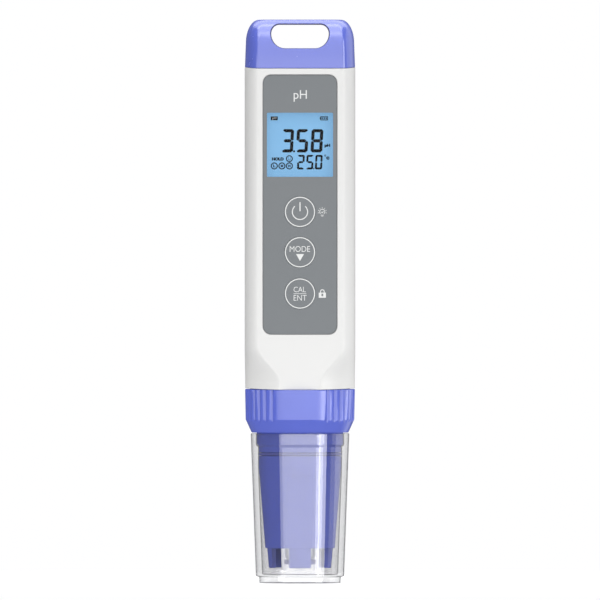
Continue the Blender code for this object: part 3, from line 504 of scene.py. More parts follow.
def neck_quarter(radius, half_depth):
    first = math.acos(half_depth / radius)
    last = math.pi / 2 - NECK_STRAIGHT_ANGLE
    return [(radius * math.sin(turn), -radius * math.cos(turn))
            for turn in sweep(first, last, FLANK_STEPS)]


def dipped(x, y, z, drop):
    """A point of a ring whose front and back are lower than its sides by drop."""
    return (x, y, z - drop * (y / HALF_DEPTH) ** 2)


def whole_ring(right_front, z, drop):
    """The quarter from the front to the right side, mirrored into a whole ring at height z."""
    ring = []
    for side, face in ((1, 1), (1, -1), (-1, -1), (-1, 1)):
        part = [dipped(side * x, face * y, z, drop) for x, y in right_front]
        ring += part if side == face else part[::-1]
    return ring


def body_ring(z, inset=0.0, drop=0.0):
    """The body's section at height z, moved in by inset."""
    along = min(max((z - BLEND_START) / (BLEND_END - BLEND_START), 0.0), 1.0)
    share = along * along * (3.0 - 2.0 * along)
    low = neck_quarter(NECK_CIRCLE - inset, HALF_DEPTH - inset)
    high = upper_quarter(HALF_WIDTH - inset, HALF_DEPTH - inset, BODY_FLAT, BODY_STRAIGHT)
    mixed = [(a[0] + (b[0] - a[0]) * share, a[1] + (b[1] - a[1]) * share)
             for a, b in zip(low, high)]
    return whole_ring(mixed, z, drop)


def low_rim(ring, z, drop, radius=RIM / 2):
    """Rings of a rounded lower rim from height z up; ring(z, inset, drop) gives each."""
    return [ring(z + depth, inset, drop) for inset, depth in round_edge(radius, 5)]


# ---- shell and panel ----
def shell_rings():
    bottom, top = SHELL_BOTTOM + 0.2 * MM, SHELL_TOP + RIM_LIFT
    rings = low_rim(body_ring, bottom, LOW_DIP)
    rings += [body_ring(z) for z in sweep(BLEND_START, BLEND_END, 20)]
    rings.append(body_ring(SHELL_TOP - 3 * MM))
    rings += [body_ring(top - depth, inset, TOP_DIP) for depth, inset in round_edge(RIM, 5)]
    ease = 0.25 * MM
    return rings + [
        body_ring(top, SHELL_WALL - ease, TOP_DIP), body_ring(top - ease, SHELL_WALL, TOP_DIP),
        body_ring(BLEND_END, SHELL_WALL), body_ring(BORE_TOP + MM, SHELL_WALL),
        body_ring(BORE_TOP, THICK_WALL), body_ring(bottom, THICK_WALL, LOW_DIP)]


def make_shell():
    """The white shell, bored for the neck's insert and cut for the panel, pane and keys."""
    start, bore_end = SHELL_BOTTOM - MM, BORE_TOP + 0.5 * MM
    rebate, lap = COLLAR_STEP + 0.12 * MM, SHELL_BOTTOM + 0.25 * MM
    recess, pocket = 0.12 * MM, 0.2 * MM
    cuts = [turned([(0.0, start), (rebate, start), (rebate, lap), (BORE, lap), (BORE, bore_end),
                    (0.0, bore_end)])]
    pane_half_height, inside = (WINDOW_HIGH.z - WINDOW_LOW.z) / 2, FRONT + 4 * MM
    film = rectangle(PANEL_HIGH.x + recess, PANEL_HALF_HEIGHT + recess, PANEL_CORNER, PANEL_Z)
    pane = rectangle(WINDOW_HIGH.x + pocket, pane_half_height + pocket, 0.3 * MM, WINDOW_Z, 3)
    sight = rectangle(SIGHT_HALF_WIDTH, SIGHT_HALF_HEIGHT, 0.3 * MM, WINDOW_Z, 3)
    cuts += [front_cutter(film, FRONT, PANEL_BACK + pocket, 0.12 * MM),
             front_cutter(pane, PANEL_BACK, WINDOW_HIGH.y + pocket, 0.1 * MM),
             front_cutter(sight, WINDOW_HIGH.y, inside, 0.1 * MM)]
    for z in KEY_CENTRES.values():
        cuts += [front_cutter(disc(KEY_RADIUS + 0.4 * MM, z), PANEL_BACK, KEY_BACK + 0.6 * MM,
                              0.1 * MM),
                 front_cutter(disc(1.9 * MM, z), KEY_BACK, inside, 0.1 * MM)]
    mesh = carve(loft(shell_rings(), wrap=True), cuts)
    piece("shell_moulding", mesh, "shell", "body", ["main_shell"])


def make_panel():
    """The grey film, with its openings over the display and round the keys."""
    plate = front_plate(rectangle(PANEL_HIGH.x, PANEL_HALF_HEIGHT, PANEL_CORNER, PANEL_Z),
                        PANEL_FRONT, PANEL_BACK, 0.08 * MM)
    behind = PANEL_BACK + MM
    sight = rectangle(SIGHT_HALF_WIDTH, SIGHT_HALF_HEIGHT, 0.35 * MM, WINDOW_Z, 5)
    cuts = [front_cutter(sight, PANEL_FRONT, behind, 0.05 * MM)]
    cuts += [front_cutter(disc(KEY_RADIUS + 0.05 * MM, z), PANEL_FRONT, behind, 0.03 * MM)
             for z in KEY_CENTRES.values()]
    piece("panel_film", carve(plate, cuts), "panel", "body", ["overlay_panel"])


def make_panes():
    """The clear pane over the display, and the display itself."""
    for name, part, corner, ease, finish, slot in (
            ("window_pane", "display_window", 0.5 * MM, 0.1 * MM, "window", "window_clear"),
            ("lcd_cell", "lcd_glass", 0.3 * MM, 0.08 * MM, "lcd", "lcd_blue")):
        low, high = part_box(part)
        outline = rectangle(high.x, (high.z - low.z) / 2, corner, middle(low, high), 4)
        piece(name, front_plate(outline, low.y, high.y, ease), finish, "body", [part])


def make_keys():
    thick, stem, edge = KEY_BACK - PANEL_FRONT, 1.5 * MM, 0.08 * MM
    for name, z in KEY_CENTRES.items():
        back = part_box(name + "_key")[1].y - PANEL_FRONT
        profile = rounded([(0.0, 0.0, 0.0), (KEY_RADIUS, 0.0, edge), (KEY_RADIUS, -thick, edge),
                           (stem, -thick, 0.3 * MM), (stem, -back, 0.15 * MM),
                           (0.0, -back, 0.0)])
        mesh = turned(profile, 96)
        mesh.transform(Matrix.Translation((0.0, PANEL_FRONT, z))
                       @ Matrix.Rotation(math.pi / 2, 4, "X"))
        piece(name + "_key_cap", mesh, "panel", name + "_button", [name + "_key"])


# ---- marks on the front, in millimetres ----
INK = 0.03 * MM                     # thickness of a mark
LINE = 0.31
FINE_LETTERS = -0.006
SEGMENTS = {"0": "abcdef", "2": "abged", "3": "abgcd", "5": "afgcd", "8": "abcdefg"}
SLANT = 0.055


def arc(radius, first, last, x=0.0, z=0.0, steps=24):
    """Points round (x, z) from first to last degrees, counted clockwise from the top."""
    turns = sweep(math.radians(first), math.radians(last), steps)
    return [(x + radius * math.sin(turn), z + radius * math.cos(turn)) for turn in turns]


class Marks:
    """Thin flat marks on a face, drawn in millimetres about a point, that make one piece."""

    def __init__(self, face, z, x=0.0, thick=INK):
        self.x, self.z = x, z
        self.front, self.back = face - thick, face
        self.bm = bmesh.new()
        self.words = []

    def vertex(self, x, z, y):
        return self.bm.verts.new((self.x + x * MM, y, self.z + z * MM))

    def shape(self, outline):
        """A filled outline."""
        skin(self.bm, [[self.vertex(x, z, y) for x, z in outline]
                       for y in (self.front, self.back)])

    def block(self, left, right, low, high):
        self.shape([(left, low), (right, low), (right, high), (left, high)])

    def line(self, points, width, closed=False):
        """A line of even width, mitred at its corners."""
        line = [Vector(point) for point in points]
        rows = []
        for i, here in enumerate(line):
            before = line[i - 1] if i or closed else None
            after = line[(i + 1) % len(line)] if i < len(line) - 1 or closed else None
            into = (here - before).normalized() if before else (after - here).normalized()
            out = (after - here).normalized() if after else into
            normal = Vector((-(into.y + out.y), into.x + out.x)).normalized()
            reach = normal * (width / 2 / max(normal.dot(Vector((-out.y, out.x))), 0.4))
            rows.append([self.vertex(*(here + side * reach), y)
                         for side, y in ((1, self.front), (-1, self.front), (-1, self.back),
                                         (1, self.back))])
        skin(self.bm, rows, closed)

    def word(self, text, left, right, low, high, weight=0.0):
        """Plain letters fitted to a box; weight thickens their strokes."""
        curve = bpy.data.curves.new("letters", "FONT")
        curve.body, curve.offset = text, weight
        curve.extrude = 0.5
        curve.resolution_u = 6
        mesh = settled(linked("letters", curve))
        xs, ys = ([vertex.co[axis] for vertex in mesh.vertices] for axis in (0, 1))
        wide = (right - left) * MM / (max(xs) - min(xs))
        tall = (high - low) * MM / (max(ys) - min(ys))
        start_x, start_z = self.x + left * MM - min(xs) * wide, self.z + low * MM - min(ys) * tall
        for vertex in mesh.vertices:
            x, y, z = vertex.co
            depth = (self.front + self.back) / 2 - z * (self.back - self.front)
            vertex.co = (start_x + x * wide, depth, start_z + y * tall)
        self.words.append(mesh)

    def digit_row(self, text, left, low, width, height, stroke, pitch, split):
        """Seven-bar digits; a full stop sits just before the digit after it."""
        bars = segment_outlines(width, height, stroke, split)
        for index, char in enumerate(text.replace(".", "")):
            for bar in SEGMENTS[char]:
                self.shape([(left + index * pitch + x + (z - height / 2) * SLANT, low + z)
                            for x, z in bars[bar]])
        x = left + text.index(".") * pitch - (pitch - width) / 2 - height / 2 * SLANT
        dot = stroke * 0.34
        self.shape(circle(dot, low + dot, x - 0.1 * stroke, 16))

    def show(self, name, finish, body, slot):
        bmesh.ops.recalc_face_normals(self.bm, faces=self.bm.faces)
        for mesh in self.words:
            self.bm.from_mesh(mesh)
        bmesh.ops.remove_doubles(self.bm, verts=self.bm.verts, dist=0.0001 * MM)
        piece(name, plain_mesh(self.bm), finish, body)


def segment_outlines(width, height, stroke, split):
    """Outline of each of the seven bars of a digit, mitred where two meet."""
    w, h, s, g = width, height, stroke, split
    mid, bevel = height / 2, stroke / 2

    def mirror(points, across, up):
        turned_over = [(w - x if across else x, h - z if up else z) for x, z in points]
        return turned_over[::-1] if across != up else turned_over
    top = [(g + bevel, h), (g + bevel * 0.4, h - bevel), (g + s, h - s), (w - g - s, h - s),
           (w - g - bevel * 0.4, h - bevel), (w - g - bevel, h)]
    side = [(0.0, h - g - bevel), (0.0, mid + g + bevel * 0.6), (bevel * 0.9, mid + g),
            (s, mid + g + bevel), (s, h - g - s), (bevel * 0.7, h - g - bevel * 0.4)]
    centre = [(g + bevel, mid), (g + s, mid - bevel), (w - g - s, mid - bevel),
              (w - g - bevel, mid), (w - g - s, mid + bevel), (g + s, mid + bevel)]
    return {"a": top, "f": side, "g": centre, "b": mirror(side, True, False),
            "e": mirror(side, False, True), "c": mirror(side, True, True),
            "d": mirror(top, False, True)}


def make_key_prints():
    """A ring on each key, round the power sign, MODE over an arrow, and CAL over ENT."""
    power, mode, cal = marks = [Marks(PANEL_FRONT, z) for z in KEY_CENTRES.values()]
    for key in marks:
        key.line(circle(KEY_RADIUS / MM - LINE / 2 - 0.2, steps=96), LINE, True)
    power.line(arc(2.54, 43, 317, steps=48), LINE)
    power.line([(0.0, 0.2), (0.0, 3.25)], 0.36)
    mode.shape([(-1.32, -0.6), (0.0, -2.95), (1.32, -0.6)])
    mode.word("MODE", -3.42, 3.37, 0.12, 2.05, FINE_LETTERS)
    cal.line([(-2.12, -0.05), (2.12, -0.05)], 0.16)
    cal.word("CAL", -2.12, 1.95, 0.45, 2.25, FINE_LETTERS)
    cal.word("ENT", -2.12, 2.2, -2.35, -0.5, FINE_LETTERS)
    for name, key in zip(KEY_CENTRES, marks):
        key.show(name + "_print", "print", name + "_button", "key_grey")


def make_panel_prints():
    """The label over the display, a lamp beside the power key and a padlock beside the last."""
    label = Marks(PANEL_FRONT, WINDOW_Z)
    label.word("pH", -2.11, 2.28, 14.35, 18.2, -0.002)

    lamp = Marks(PANEL_FRONT, KEY_CENTRES["power"] - 0.1 * MM, 7.42 * MM)
    bulb_z = 0.12
    lamp.line(arc(0.86, -140, 140, 0.0, bulb_z), 0.2)
    for z, half in ((-0.98, 0.5), (-1.32, 0.36)):
        lamp.line([(-half, z), (half, z)], 0.17)
    lamp.line([(-0.4, 0.1), (0.0, -0.25), (0.4, 0.35)], 0.18)
    for angle in range(-105, 106, 35):
        turn = math.radians(angle)
        lamp.line([(r * math.sin(turn), bulb_z + r * math.cos(turn)) for r in (1.15, 1.55)], 0.17)

    lock = Marks(PANEL_FRONT, KEY_CENTRES["cal"] - 0.15 * MM, 7.44 * MM)
    half, hole, shackle, top, low = 1.2, 0.3, 0.62, 0.45, -1.25
    lock.block(-half, -hole, low, top)
    lock.block(hole, half, low, top)
    lock.shape([(-hole, low), (hole, low), (hole, -0.75), (-hole, -0.7)])
    lock.block(-hole, hole, 0.12, top)
    lock.line([(-shackle, top)] + arc(shackle, -90, 90, 0.0, 0.8, 12) + [(shackle, top)], 0.27)

    for name, marks in (("label_print", label), ("lamp_print", lamp), ("lock_print", lock)):
        marks.show(name, "print", "body", "panel_grey")


def make_readings():
    digits = Marks(LCD_FACE, WINDOW_Z)
    digits.digit_row("3.58", -6.08, -2.54, 3.93, 7.76, 1.06, 4.88, 0.05)
    digits.digit_row("25.0", -0.9, -8.2, 2.4, 4.85, 0.67, 2.98, 0.03)
    digits.show("lcd_digits", "segment", "body", "lcd_blue")


def make_symbols():
    """The small marks round the readings: state, units, calibration points and battery."""
    small = Marks(LCD_FACE, WINDOW_Z)
    points_z, face_x, face_z = -7.03, -3.54, -4.62
    points = {"L": -8.56, "M": -6.03, "H": -3.54}
    for x in points.values():
        small.line(circle(1.0, points_z, x, 40), 0.36, True)
    small.line(circle(0.98, face_z, face_x, 40), 0.34, True)
    small.line(circle(0.24, -3.58, 8.4, 20), 0.16, True)
    for side in (-0.35, 0.35):
        small.shape(circle(0.16, face_z + 0.22, face_x + side, 12))
    small.line(arc(0.5, 125, 235, face_x, face_z + 0.05, 10), 0.2)
    small.word("HOLD", -9.37, -5.41, -5.27, -4.17, 0.08)
    small.word("pH", 8.15, 10.05, -0.97, 0.33, 0.07)
    small.word("C", 8.72, 9.77, -4.95, -3.88, 0.12)
    for letter, x in points.items():
        small.word(letter, x - 0.38, x + 0.4, points_z - 0.48, points_z + 0.48, 0.06)
    small.show("lcd_marks", "symbol", "body", "lcd_blue")

    top_row = WINDOW_Z + 8.82 * MM
    icons = Marks(LCD_FACE, top_row)
    battery_x, half, high = 8.05, 1.15, 0.55
    left, right = battery_x - half, battery_x + half
    icons.line([(left, -high), (right, -high), (right, high), (left, high)], 0.24, True)
    icons.block(left - 0.3, left - 0.08, -0.3, 0.3)
    for offset in (-0.68, 0.0, 0.68):
        icons.block(battery_x + offset - 0.2, battery_x + offset + 0.2, -0.34, 0.34)
    icons.block(-9.75, -7.4, -0.62, 0.62)
    icons.show("lcd_icons", "segment", "body", "lcd_blue")

    label = Marks(LCD_FACE - INK, top_row, thick=0.02 * MM)
    label.word("pH", -9.2, -7.95, -0.45, 0.45)
    label.show("lcd_label", "print", "body", "lcd_blue")


# ---- battery cap ----
CAP_HALF_WIDTH, CAP_HALF_DEPTH = CAP_HIGH.x, -CAP_LOW.y
SHOULDER_Z = 180.2 * MM
SHOULDER_DRAFT = 0.3 * MM
CAP_SWELL = 2.6                     # how square the front's curve back to the top is
TOP_HALF_WIDTH, TOP_HALF_DEPTH = 13.7 * MM, 6.5 * MM
SLOT_WIDEST, SLOT_WIDEST_Z = 10.0 * MM, 183.4 * MM
SLOT_ENDS = ((5.0 * MM, 178.15 * MM), (6.9 * MM, 186.75 * MM))    # half width, height
SLOT_DRAFT = 0.4 * MM


def cap_ring(z, inset=0.0, drop=0.0):
    """The cap's outside at height z, moved in by inset."""
    share = max(z - CAP_BOTTOM, 0.0) / (PEN_TOP - CAP_BOTTOM)
    over = max(z - SHOULDER_Z, 0.0) / (PEN_TOP - SHOULDER_Z)
    deep = TOP_HALF_DEPTH + (CAP_HALF_DEPTH - TOP_HALF_DEPTH) * (
        max(1 - share ** CAP_SWELL, 0.0) ** (1 / CAP_SWELL))
    wide = CAP_HALF_WIDTH - SHOULDER_DRAFT * min((z - CAP_BOTTOM) / (SHOULDER_Z - CAP_BOTTOM), 1.0)
    if over > 0.0:
        wide = TOP_HALF_WIDTH + (wide - TOP_HALF_WIDTH) * math.sqrt(max(1 - over ** 2, 0.0))
    wide, deep = wide - inset, deep - inset
    return whole_ring(upper_quarter(wide, deep, BODY_FLAT * wide / HALF_WIDTH,
                                    BODY_STRAIGHT * deep / HALF_DEPTH), z, drop)


def slot_ring(y, grow):
    """Outline of the lanyard slot at depth y, moved out by grow."""
    (bottom_half, bottom), (top_half, top) = SLOT_ENDS
    right = [(bottom_half + (SLOT_WIDEST - bottom_half + grow) * math.sin(turn),
              SLOT_WIDEST_Z - (SLOT_WIDEST_Z - bottom + grow) * math.cos(turn))
             for turn in quarter(14)]
    right += [(top_half + (SLOT_WIDEST - top_half + grow) * math.cos(turn),
               SLOT_WIDEST_Z + (top - SLOT_WIDEST_Z + grow) * math.sin(turn))
              for turn in quarter(14)[1:]]
    return [(x, y, z) for x, z in right + [(-x, z) for x, z in reversed(right)]]


def make_battery_cap():
    """The cap: a plain skirt with a groove for its seal, and a lanyard slot right through."""
    skirt_end, groove_low, groove_high, ceiling = CAP_LOW.z, 169.2 * MM, 170.8 * MM, 175.6 * MM
    outside = SHELL_WALL + FIT_GAP
    inside, groove = outside + 1.9 * MM, outside + 0.9 * MM
    rings = [body_ring(z, inset) for z, inset in (
        (ceiling, inside), (skirt_end + EASE, inside), (skirt_end, inside - EASE),
        (skirt_end, outside + EASE), (skirt_end + EASE, outside), (groove_low, outside),
        (groove_low, groove), (groove_high, groove), (groove_high, outside))]
    rings.append(body_ring(CAP_BOTTOM, outside, TOP_DIP))
    rings += low_rim(cap_ring, CAP_BOTTOM, TOP_DIP)
    rings += [cap_ring(CAP_BOTTOM + height * MM) for height in (1.6, 3.0, 4.4, 6.0)]
    rings += [cap_ring(SHOULDER_Z + (PEN_TOP - SHOULDER_Z) * math.sin(turn))
              for turn in quarter(24)]
    slot = loft([slot_ring(y, SLOT_DRAFT * (abs(y) / CAP_HALF_DEPTH - 1.0))
                 for y in (-1.2 * CAP_HALF_DEPTH, 0.0, 1.2 * CAP_HALF_DEPTH)])
    piece("battery_cap_moulding", carve(loft(rings), [slot]), "cap", "battery_lid",
          ["battery_cap"], 40.0)


# ---- locking collar ----
GROOVES_PER_SIDE = 14
GROOVE_FIRST = math.radians(30.8)
GROOVE_DEPTH = 0.7 * MM
GROOVE_HALF_WIDTH = 0.9 * MM
GROOVE_SECTION = ((-1.0, 0.0), (-0.5, 0.5), (-0.12, 0.97), (0.0, 1.0), (0.12, 0.97), (0.5, 0.5),
                  (1.0, 0.0))         # share of the half width, share of the depth
THREAD_PITCH = 2.5 * MM
THREAD_START = 57.4 * MM


def collar_stations():
    """(angle from the front, share of the groove's depth) for each point round the collar."""
    pitch = (math.pi - 2 * GROOVE_FIRST) / (GROOVES_PER_SIDE - 1)
    half = GROOVE_HALF_WIDTH / COLLAR_RADIUS
    stations = []
    for side in (1, -1):
        for i in range(GROOVES_PER_SIDE):
            centre = GROOVE_FIRST + pitch * i
            stations += [(side * (centre + offset * half), share)
                         for offset, share in GROOVE_SECTION]
            if i < GROOVES_PER_SIDE - 1:
                stations.append((side * (centre + pitch / 2), 0.0))
    plain = GROOVE_FIRST - half
    stations += [(centre + plain * step / 12, 0.0) for centre in (0.0, math.pi)
                 for step in range(-11, 12)]
    return sorted((angle % (2 * math.pi), share) for angle, share in stations)


def collar_ring(radius, z, depth=0.0, drop=0.0):
    return [dipped((radius - depth * share) * math.sin(angle),
                   -(radius - depth * share) * math.cos(angle), z, drop)
            for angle, share in collar_stations()]


def thread(root, crest, start, turns=2, per_turn=96):
    """A right-hand helical ridge."""
    rings = []
    base, tip = 0.4 * MM, 0.24 * MM
    for step in range(turns * per_turn + 1):
        turn = 2 * math.pi * step / per_turn
        z = start + THREAD_PITCH * step / per_turn
        outline = [(root, z - base), (crest, z - tip), (crest, z + tip), (root, z + base)]
        rings.append([(r * math.cos(turn), r * math.sin(turn), h) for r, h in outline])
    return loft(rings)


def make_collar():
    """The ribbed collar: a step that the shell laps over, a thread inside and a lip below."""
    bottom, run_out, shoulder, lip_top = COLLAR_LOW.z, 53.6 * MM, 54.6 * MM, 52.4 * MM
    low_radius, shoulder_radius = 16.2 * MM, 18.15 * MM
    bore, lip = 16.35 * MM, 14.75 * MM
    step_top, top = SHELL_BOTTOM + 0.15 * MM, COLLAR_HIGH.z - 0.03 * MM + COLLAR_DIP
    slope = (shoulder_radius - low_radius) / (shoulder - bottom)
    groove_start = run_out + 0.5 * MM
    rings = [collar_ring(radius, z, GROOVE_DEPTH * share) for radius, z, share in (
        (low_radius - EASE, bottom, 0.0), (low_radius, bottom + EASE * 0.6, 0.0),
        (low_radius + slope * (run_out - bottom), run_out, 0.0),
        (low_radius + slope * (groove_start - bottom), groove_start, 0.42),
        (shoulder_radius, shoulder, 0.78))]
    rings += [collar_ring(COLLAR_RADIUS - inset, top - depth, GROOVE_DEPTH - inset, COLLAR_DIP)
              for depth, inset in round_edge(RIM, 4)]
    rings.append(collar_ring(COLLAR_STEP, top, 0.0, COLLAR_DIP))
    rings += [collar_ring(radius, z) for radius, z in (
        (COLLAR_STEP, step_top - 0.1 * MM), (COLLAR_STEP - 0.1 * MM, step_top),
        (bore + EASE, step_top), (bore, step_top - EASE), (bore, lip_top), (lip, lip_top),
        (lip, bottom + EASE), (lip + EASE, bottom))]
    ridge = thread(bore + 0.3 * MM, BORE, THREAD_START + THREAD_PITCH / 2)
    mesh = carve(loft(rings, wrap=True), joins=[ridge])
    piece("collar_moulding", mesh, "collar", "collar", ["locking_collar"], 30.0)


# ---- probe ----
SKIRT_EDGE, SKIRT_RADIUS = 11.6 * MM, 11.62 * MM      # the cone ends here and the tines go on
CONE_TOP, CONE_RADIUS = 38.9 * MM, 13.77 * MM
FAR = 20 * MM                       # well outside the probe


def tine_gaps():
    """Openings between the narrow front and back tines and the broad side ones."""
    narrow, broad, low = 3.6 * MM, 6.2 * MM, PROBE_LOW.z - MM
    return [loft([[(x0, y0, z), (x1, y0, z), (x1, y1, z), (x0, y1, z)]
                  for z in (low, SKIRT_EDGE)])
            for x0, x1, y0, y1 in ((-9.4 * MM, -narrow, -FAR, -3 * MM),
                                   (narrow, 10.45 * MM, -FAR, -3 * MM),
                                   (-broad, -narrow, 0.0, FAR), (narrow, broad, 0.0, FAR))]


def tine_faces():
    """Flats front and back that lean with the cone."""
    top, low, half, top_y = 36.0 * MM, PROBE_LOW.z - MM, 5.5 * MM, 12.89 * MM
    lean = (CONE_RADIUS - SKIRT_RADIUS) / (CONE_TOP - SKIRT_EDGE)
    return [loft([[(-half, face * y, z), (half, face * y, z), (half, face * FAR, z),
                   (-half, face * FAR, z)]
                  for y, z in ((top_y - lean * (top - low), low), (top_y, top))])
            for face in (-1, 1)]


def make_probe():
    """The probe body: spigot, flange, neck, seal groove, cone and tines, hollow inside."""
    spigot, flange, neck, groove = 12.9 * MM, 15.3 * MM, 14.45 * MM, 12.9 * MM
    flange_low, flange_high, groove_low, groove_high = 52.7 * MM, 54.7 * MM, 42.4 * MM, 43.6 * MM
    guard, upper = 8.6 * MM, 11.0 * MM
    fine, soft = 0.12 * MM, 0.3 * MM
    corners = [(spigot, PROBE_HIGH.z, soft), (spigot, flange_high, soft),
               (flange, flange_high, soft), (flange, flange_low, fine), (neck, flange_low, fine),
               (neck, 46.5 * MM, soft), (CONE_RADIUS, 45.6 * MM, soft),
               (CONE_RADIUS, groove_high, fine), (groove, groove_high, fine),
               (groove, groove_low, fine), (CONE_RADIUS, groove_low, fine),
               (CONE_RADIUS, CONE_TOP, MM), (SKIRT_RADIUS, SKIRT_EDGE, fine),
               (10.95 * MM, SKIRT_EDGE, fine), (10.4 * MM, PROBE_LOW.z, soft),
               (guard, PROBE_LOW.z, soft), (guard, 40.0 * MM, MM), (upper, 44.0 * MM, MM),
               (upper, PROBE_HIGH.z, soft)]
    mesh = carve(turned(rounded(corners, True)), tine_gaps() + tine_faces())
    piece("probe_moulding", mesh, "probe", "probe", ["probe_housing"], 28.0)


def make_electrode():
    """Glass tube with a wider, round-ended sensing bulb."""
    bulb, tube, dome = 5.1 * MM, 4.8 * MM, 3.2 * MM
    low, high = GLASS_LOW.z, GLASS_HIGH.z

    def face(wall):
        """One face of the glass, from the bulb's tip to the tube's end."""
        tip = [((bulb - wall) * math.sin(turn), low + dome - (dome - wall) * math.cos(turn), 0.0)
               for turn in quarter(14)]
        return tip + [(bulb - wall, 10.5 * MM, 0.0), (bulb - wall, 11.5 * MM, MM),
                      (tube - wall, 14 * MM, MM), (tube - wall, high, EASE)]
    profile = rounded(face(0.5 * MM) + face(0.0)[::-1])
    piece("glass_tube", turned(profile, 96), "glass", "probe",
          ["glass_electrode"])


def make_bulb_band():
    """The thin blue band round the glass bulb that shows behind the front tine."""
    low, high, radius, hole = 6.2 * MM, 7.75 * MM, 5.2 * MM, 4.8 * MM
    profile = rounded([(hole, low, 0.05 * MM), (radius, low, 0.1 * MM),
                       (radius, high, 0.1 * MM), (hole, high, 0.05 * MM)], closed=True)
    piece("bulb_spacer", turned(profile, 96), "o_ring", "probe")


def make_pins():
    """The wire, the temperature sensor and the reference junction, each a round-ended pin."""
    for name, part, finish, slot, dome, top_ease, steps in (
            ("wire_of_silver", "silver_wire", "silver", "silver", 0.2 * MM, 0.2 * MM, 4),
            ("sensor_tube", "temperature_sensor", "steel", "sensor_steel", 0.8 * MM, 0.1 * MM, 8),
            ("junction_pin", "reference_junction", "ceramic", "ceramic", 0.2 * MM, 0.1 * MM, 8)):
        low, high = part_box(part)
        radius = (high.x - low.x) / 2
        profile = rounded([(0.0, low.z, 0.0), (radius, low.z, min(dome, radius * 0.98)),
                           (radius, high.z, top_ease), (0.0, high.z, 0.0)], steps=steps)
        mesh = turned(profile, 32, (0.0, (low.y + high.y) / 2))
        piece(name, mesh, finish, "probe", [part])


def make_seals():
    for name, part, major, minor, z, finish in (
            ("probe_o_ring", "probe_seal", 13.8 * MM, 0.65 * MM, 55.6 * MM, "seal"),
            ("storage_o_ring", "storage_seal", 13.5 * MM, 0.45 * MM, 43.0 * MM, "o_ring")):
        piece(name, turned(circle(minor, z, major, 20)), finish, "probe",
              [part])


# ---- storage cap ----
def make_cup():
    """The clear cup, with a wider mouth and a narrower foot."""
    floor, top, bore, mouth = 2.7 * MM, CUP_HIGH.z, 14.05 * MM, 14.75 * MM
    wall_end, foot, soft = 14.78 * MM, 13.6 * MM, 0.4 * MM
    inside = [(0.0, floor, 0.0), (12.7 * MM, floor, 0.6 * MM), (bore, 39 * MM, MM),
              (bore, 45.4 * MM, soft), (mouth, 46.0 * MM, soft), (mouth, top, 0.25 * MM)]
    outside = [(CUP_HIGH.x, top, 0.3 * MM), (wall_end, 4.3 * MM, MM), (wall_end, 2.3 * MM, soft),
               (foot, 1.9 * MM, 0.3 * MM), (foot - 0.05 * MM, 0.0, 0.25 * MM), (0.0, 0.0, 0.0)]
    mesh = turned(rounded(inside + outside, steps=6), 144)
    piece("storage_cup", mesh, "cup", "cup", ["storage_cap"])


# ---- inner parts ----
def make_cells():
    """Two AAA cells side by side, the right one upside down."""
    nub, nub_height, crimp, edge, band = 1.9 * MM, 0.8 * MM, 0.35 * MM, 0.1 * MM, 11 * MM
    for side in ("left", "right"):
        low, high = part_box("battery_cell_" + side)
        radius, shoulder = (high.x - low.x) / 2, high.z - nub_height
        corners = [(0.0, high.z, 0.0), (nub, high.z, 0.25 * MM), (nub, shoulder, edge),
                   (radius - 0.7 * MM, shoulder, edge),
                   (radius - 0.5 * MM, shoulder + 0.2 * MM, edge),
                   (radius, shoulder - crimp, EASE), (radius, low.z, crimp), (0.0, low.z, 0.0)]
        if side == "right":
            corners = [(r, low.z + high.z - z, ease) for r, z, ease in corners]
        centre = ((low.x + high.x) / 2, (low.y + high.y) / 2)
        name = "cell_" + side
        FINISH[name] = sleeve_material("cell_sleeve_" + side,
                                       high.z - band if side == "left" else low.z + band)
        piece(name, turned(rounded(corners), 64, centre), name, "body",
              ["battery_cell_" + side])


def finish_packed_parts():
    """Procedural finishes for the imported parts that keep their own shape."""
    for finish, names in {
            "white": "threaded_neck display_frame",
            "black": "power_switch mode_switch cal_switch power_plunger mode_plunger cal_plunger "
                     "battery_holder bridge_carrier probe_socket probe_plug",
            "steel": "battery_spring contact_bridge board_screw_lower_left "
                     "board_screw_lower_right board_screw_upper_left board_screw_upper_right",
            "chip": "microcontroller input_amplifier", "board": "main_board",
            "guide": "backlight_guide", "strip": "contact_strip", "brass": "battery_contact",
            "ribbon": "probe_ribbon", "seal": "cap_seal", "potting": "electrode_seat"}.items():
        for name in names.split():
            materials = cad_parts[name].data.materials
            materials.clear()
            materials.append(FINISH[finish])


# ---- floor, lights and camera ----
FLOOR_DROP = 0.01 * MM
LIGHT_AIM = Vector((0.0, 0.0, 0.1))
CAMERA_DISTANCE = 5.567
CAMERA_RISE = 0.45 * MM


def make_floor():
    """Pale floor that fades into the white surround away from the meter."""
    bm = bmesh.new()
    bmesh.ops.create_circle(bm, cap_ends=True, segments=96, radius=1.2)
    mesh = closed_mesh(bm)
    material, tree, shader = new_material(
        "floor_white", Roughness=0.6, Specular_IOR_Level=0.0, Emission_Strength=0.45,
        Emission_Color=(1.0, 1.0, 1.0, 1.0))
    feed(shader, "Base Color",
         tint(tree, noise(tree, 0.3), (0.58, 0.58, 0.58, 1.0), (0.6, 0.6, 0.6, 1.0)))
    show_through(shader, span(tree, distance(tree, place_vector(tree)), 1.0, 0.0, 0.1, 0.26))
    mesh.materials.append(material)
    floor = linked("floor", mesh)
    floor.location.z = -FLOOR_DROP
    floor.visible_glossy = False


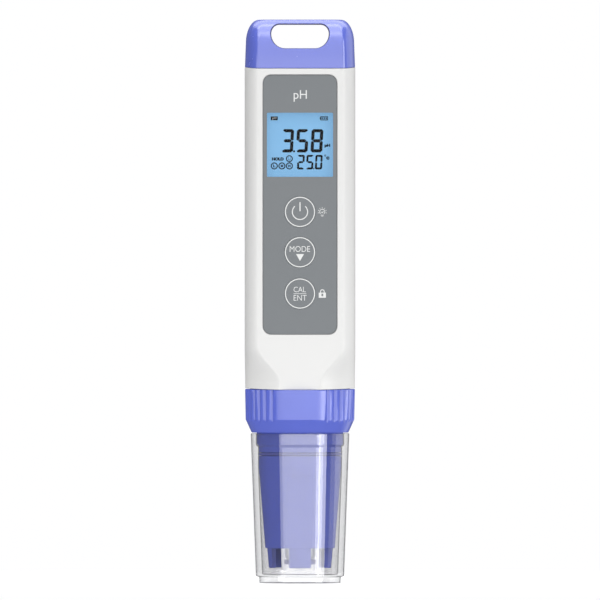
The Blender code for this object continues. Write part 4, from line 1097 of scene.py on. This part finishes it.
def softbox(name, azimuth, elevation, width, height, radiance, away=0.8, mirrored=True):
    """A soft light at a direction from the meter; azimuth 0 is the front, 90 is to its right."""
    turn, rise = math.radians(azimuth), math.radians(elevation)
    towards = Vector((math.sin(turn) * math.cos(rise), -math.cos(turn) * math.cos(rise),
                      math.sin(rise)))
    light = bpy.data.lights.new(name, "AREA")
    light.shape = "RECTANGLE"
    light.size, light.size_y = width, height
    light.energy = radiance * math.pi * width * height
    lamp = linked(name, light)
    lamp.location = LIGHT_AIM + towards * away
    lamp.rotation_euler = towards.to_track_quat("Z", "Y").to_euler()
    lamp.visible_camera = False
    lamp.visible_glossy = mirrored


def make_lights():
    softbox("front_softbox", 0, 0, 1.9, 0.38, 1.27)
    softbox("right_strip", 55.5, 4, 0.3, 0.9, 2.6)
    softbox("right_rear", 122, 5, 0.9, 0.9, 0.6)
    softbox("left_fill", -80, 5, 1.0, 1.0, 0.75, mirrored=False)
    softbox("high_front", 0, 38, 1.0, 0.72, 1.02)
    softbox("top_fill", 0, 78, 1.0, 0.8, 1.8)
    softbox("top_rear", 180, 60, 1.0, 0.9, 1.5)
    softbox("rear_fill", 180, 20, 1.4, 0.9, 1.2, 1.2, mirrored=False)


def make_world():
    """White behind the meter; a grey surround lights it and a darker one shows in its gloss."""
    world = bpy.data.worlds.new("surround")
    bpy.context.scene.world = world
    world.use_nodes = True
    tree = world.node_tree
    tree.nodes.clear()

    def surround(grey):
        return node(tree, "Background", (grey, grey, grey * 1.01, 1.0)).outputs[0]
    path = node(tree, "LightPath")
    seen = surround(0.3)
    for grey, kind in ((0.16, "Is Glossy Ray"), (1.0, "Is Camera Ray")):
        seen = node(tree, "MixShader", path.outputs[kind], seen, surround(grey)).outputs[0]
    node(tree, "OutputWorld", seen)


def make_camera():
    camera = bpy.data.cameras.new("camera")
    camera.sensor_width = 36.0
    camera.lens = 1000.0
    camera.clip_end = 20.0
    view = linked("camera", camera)
    view.location = (0.0, -CAMERA_DISTANCE, middle(*CAD_BOX) + CAMERA_RISE)
    view.rotation_euler = (math.radians(90.0), 0.0, 0.0)
    bpy.context.scene.camera = view
    bpy.context.scene.view_settings.view_transform = "Standard"


for make in (make_shell, make_panel, make_panes, make_keys, make_key_prints, make_panel_prints,
             make_readings, make_symbols, make_battery_cap, make_collar, make_probe,
             make_electrode, make_bulb_band, make_pins, make_seals, make_cup, make_cells,
             finish_packed_parts, make_floor, make_lights, make_world, make_camera):
    make()
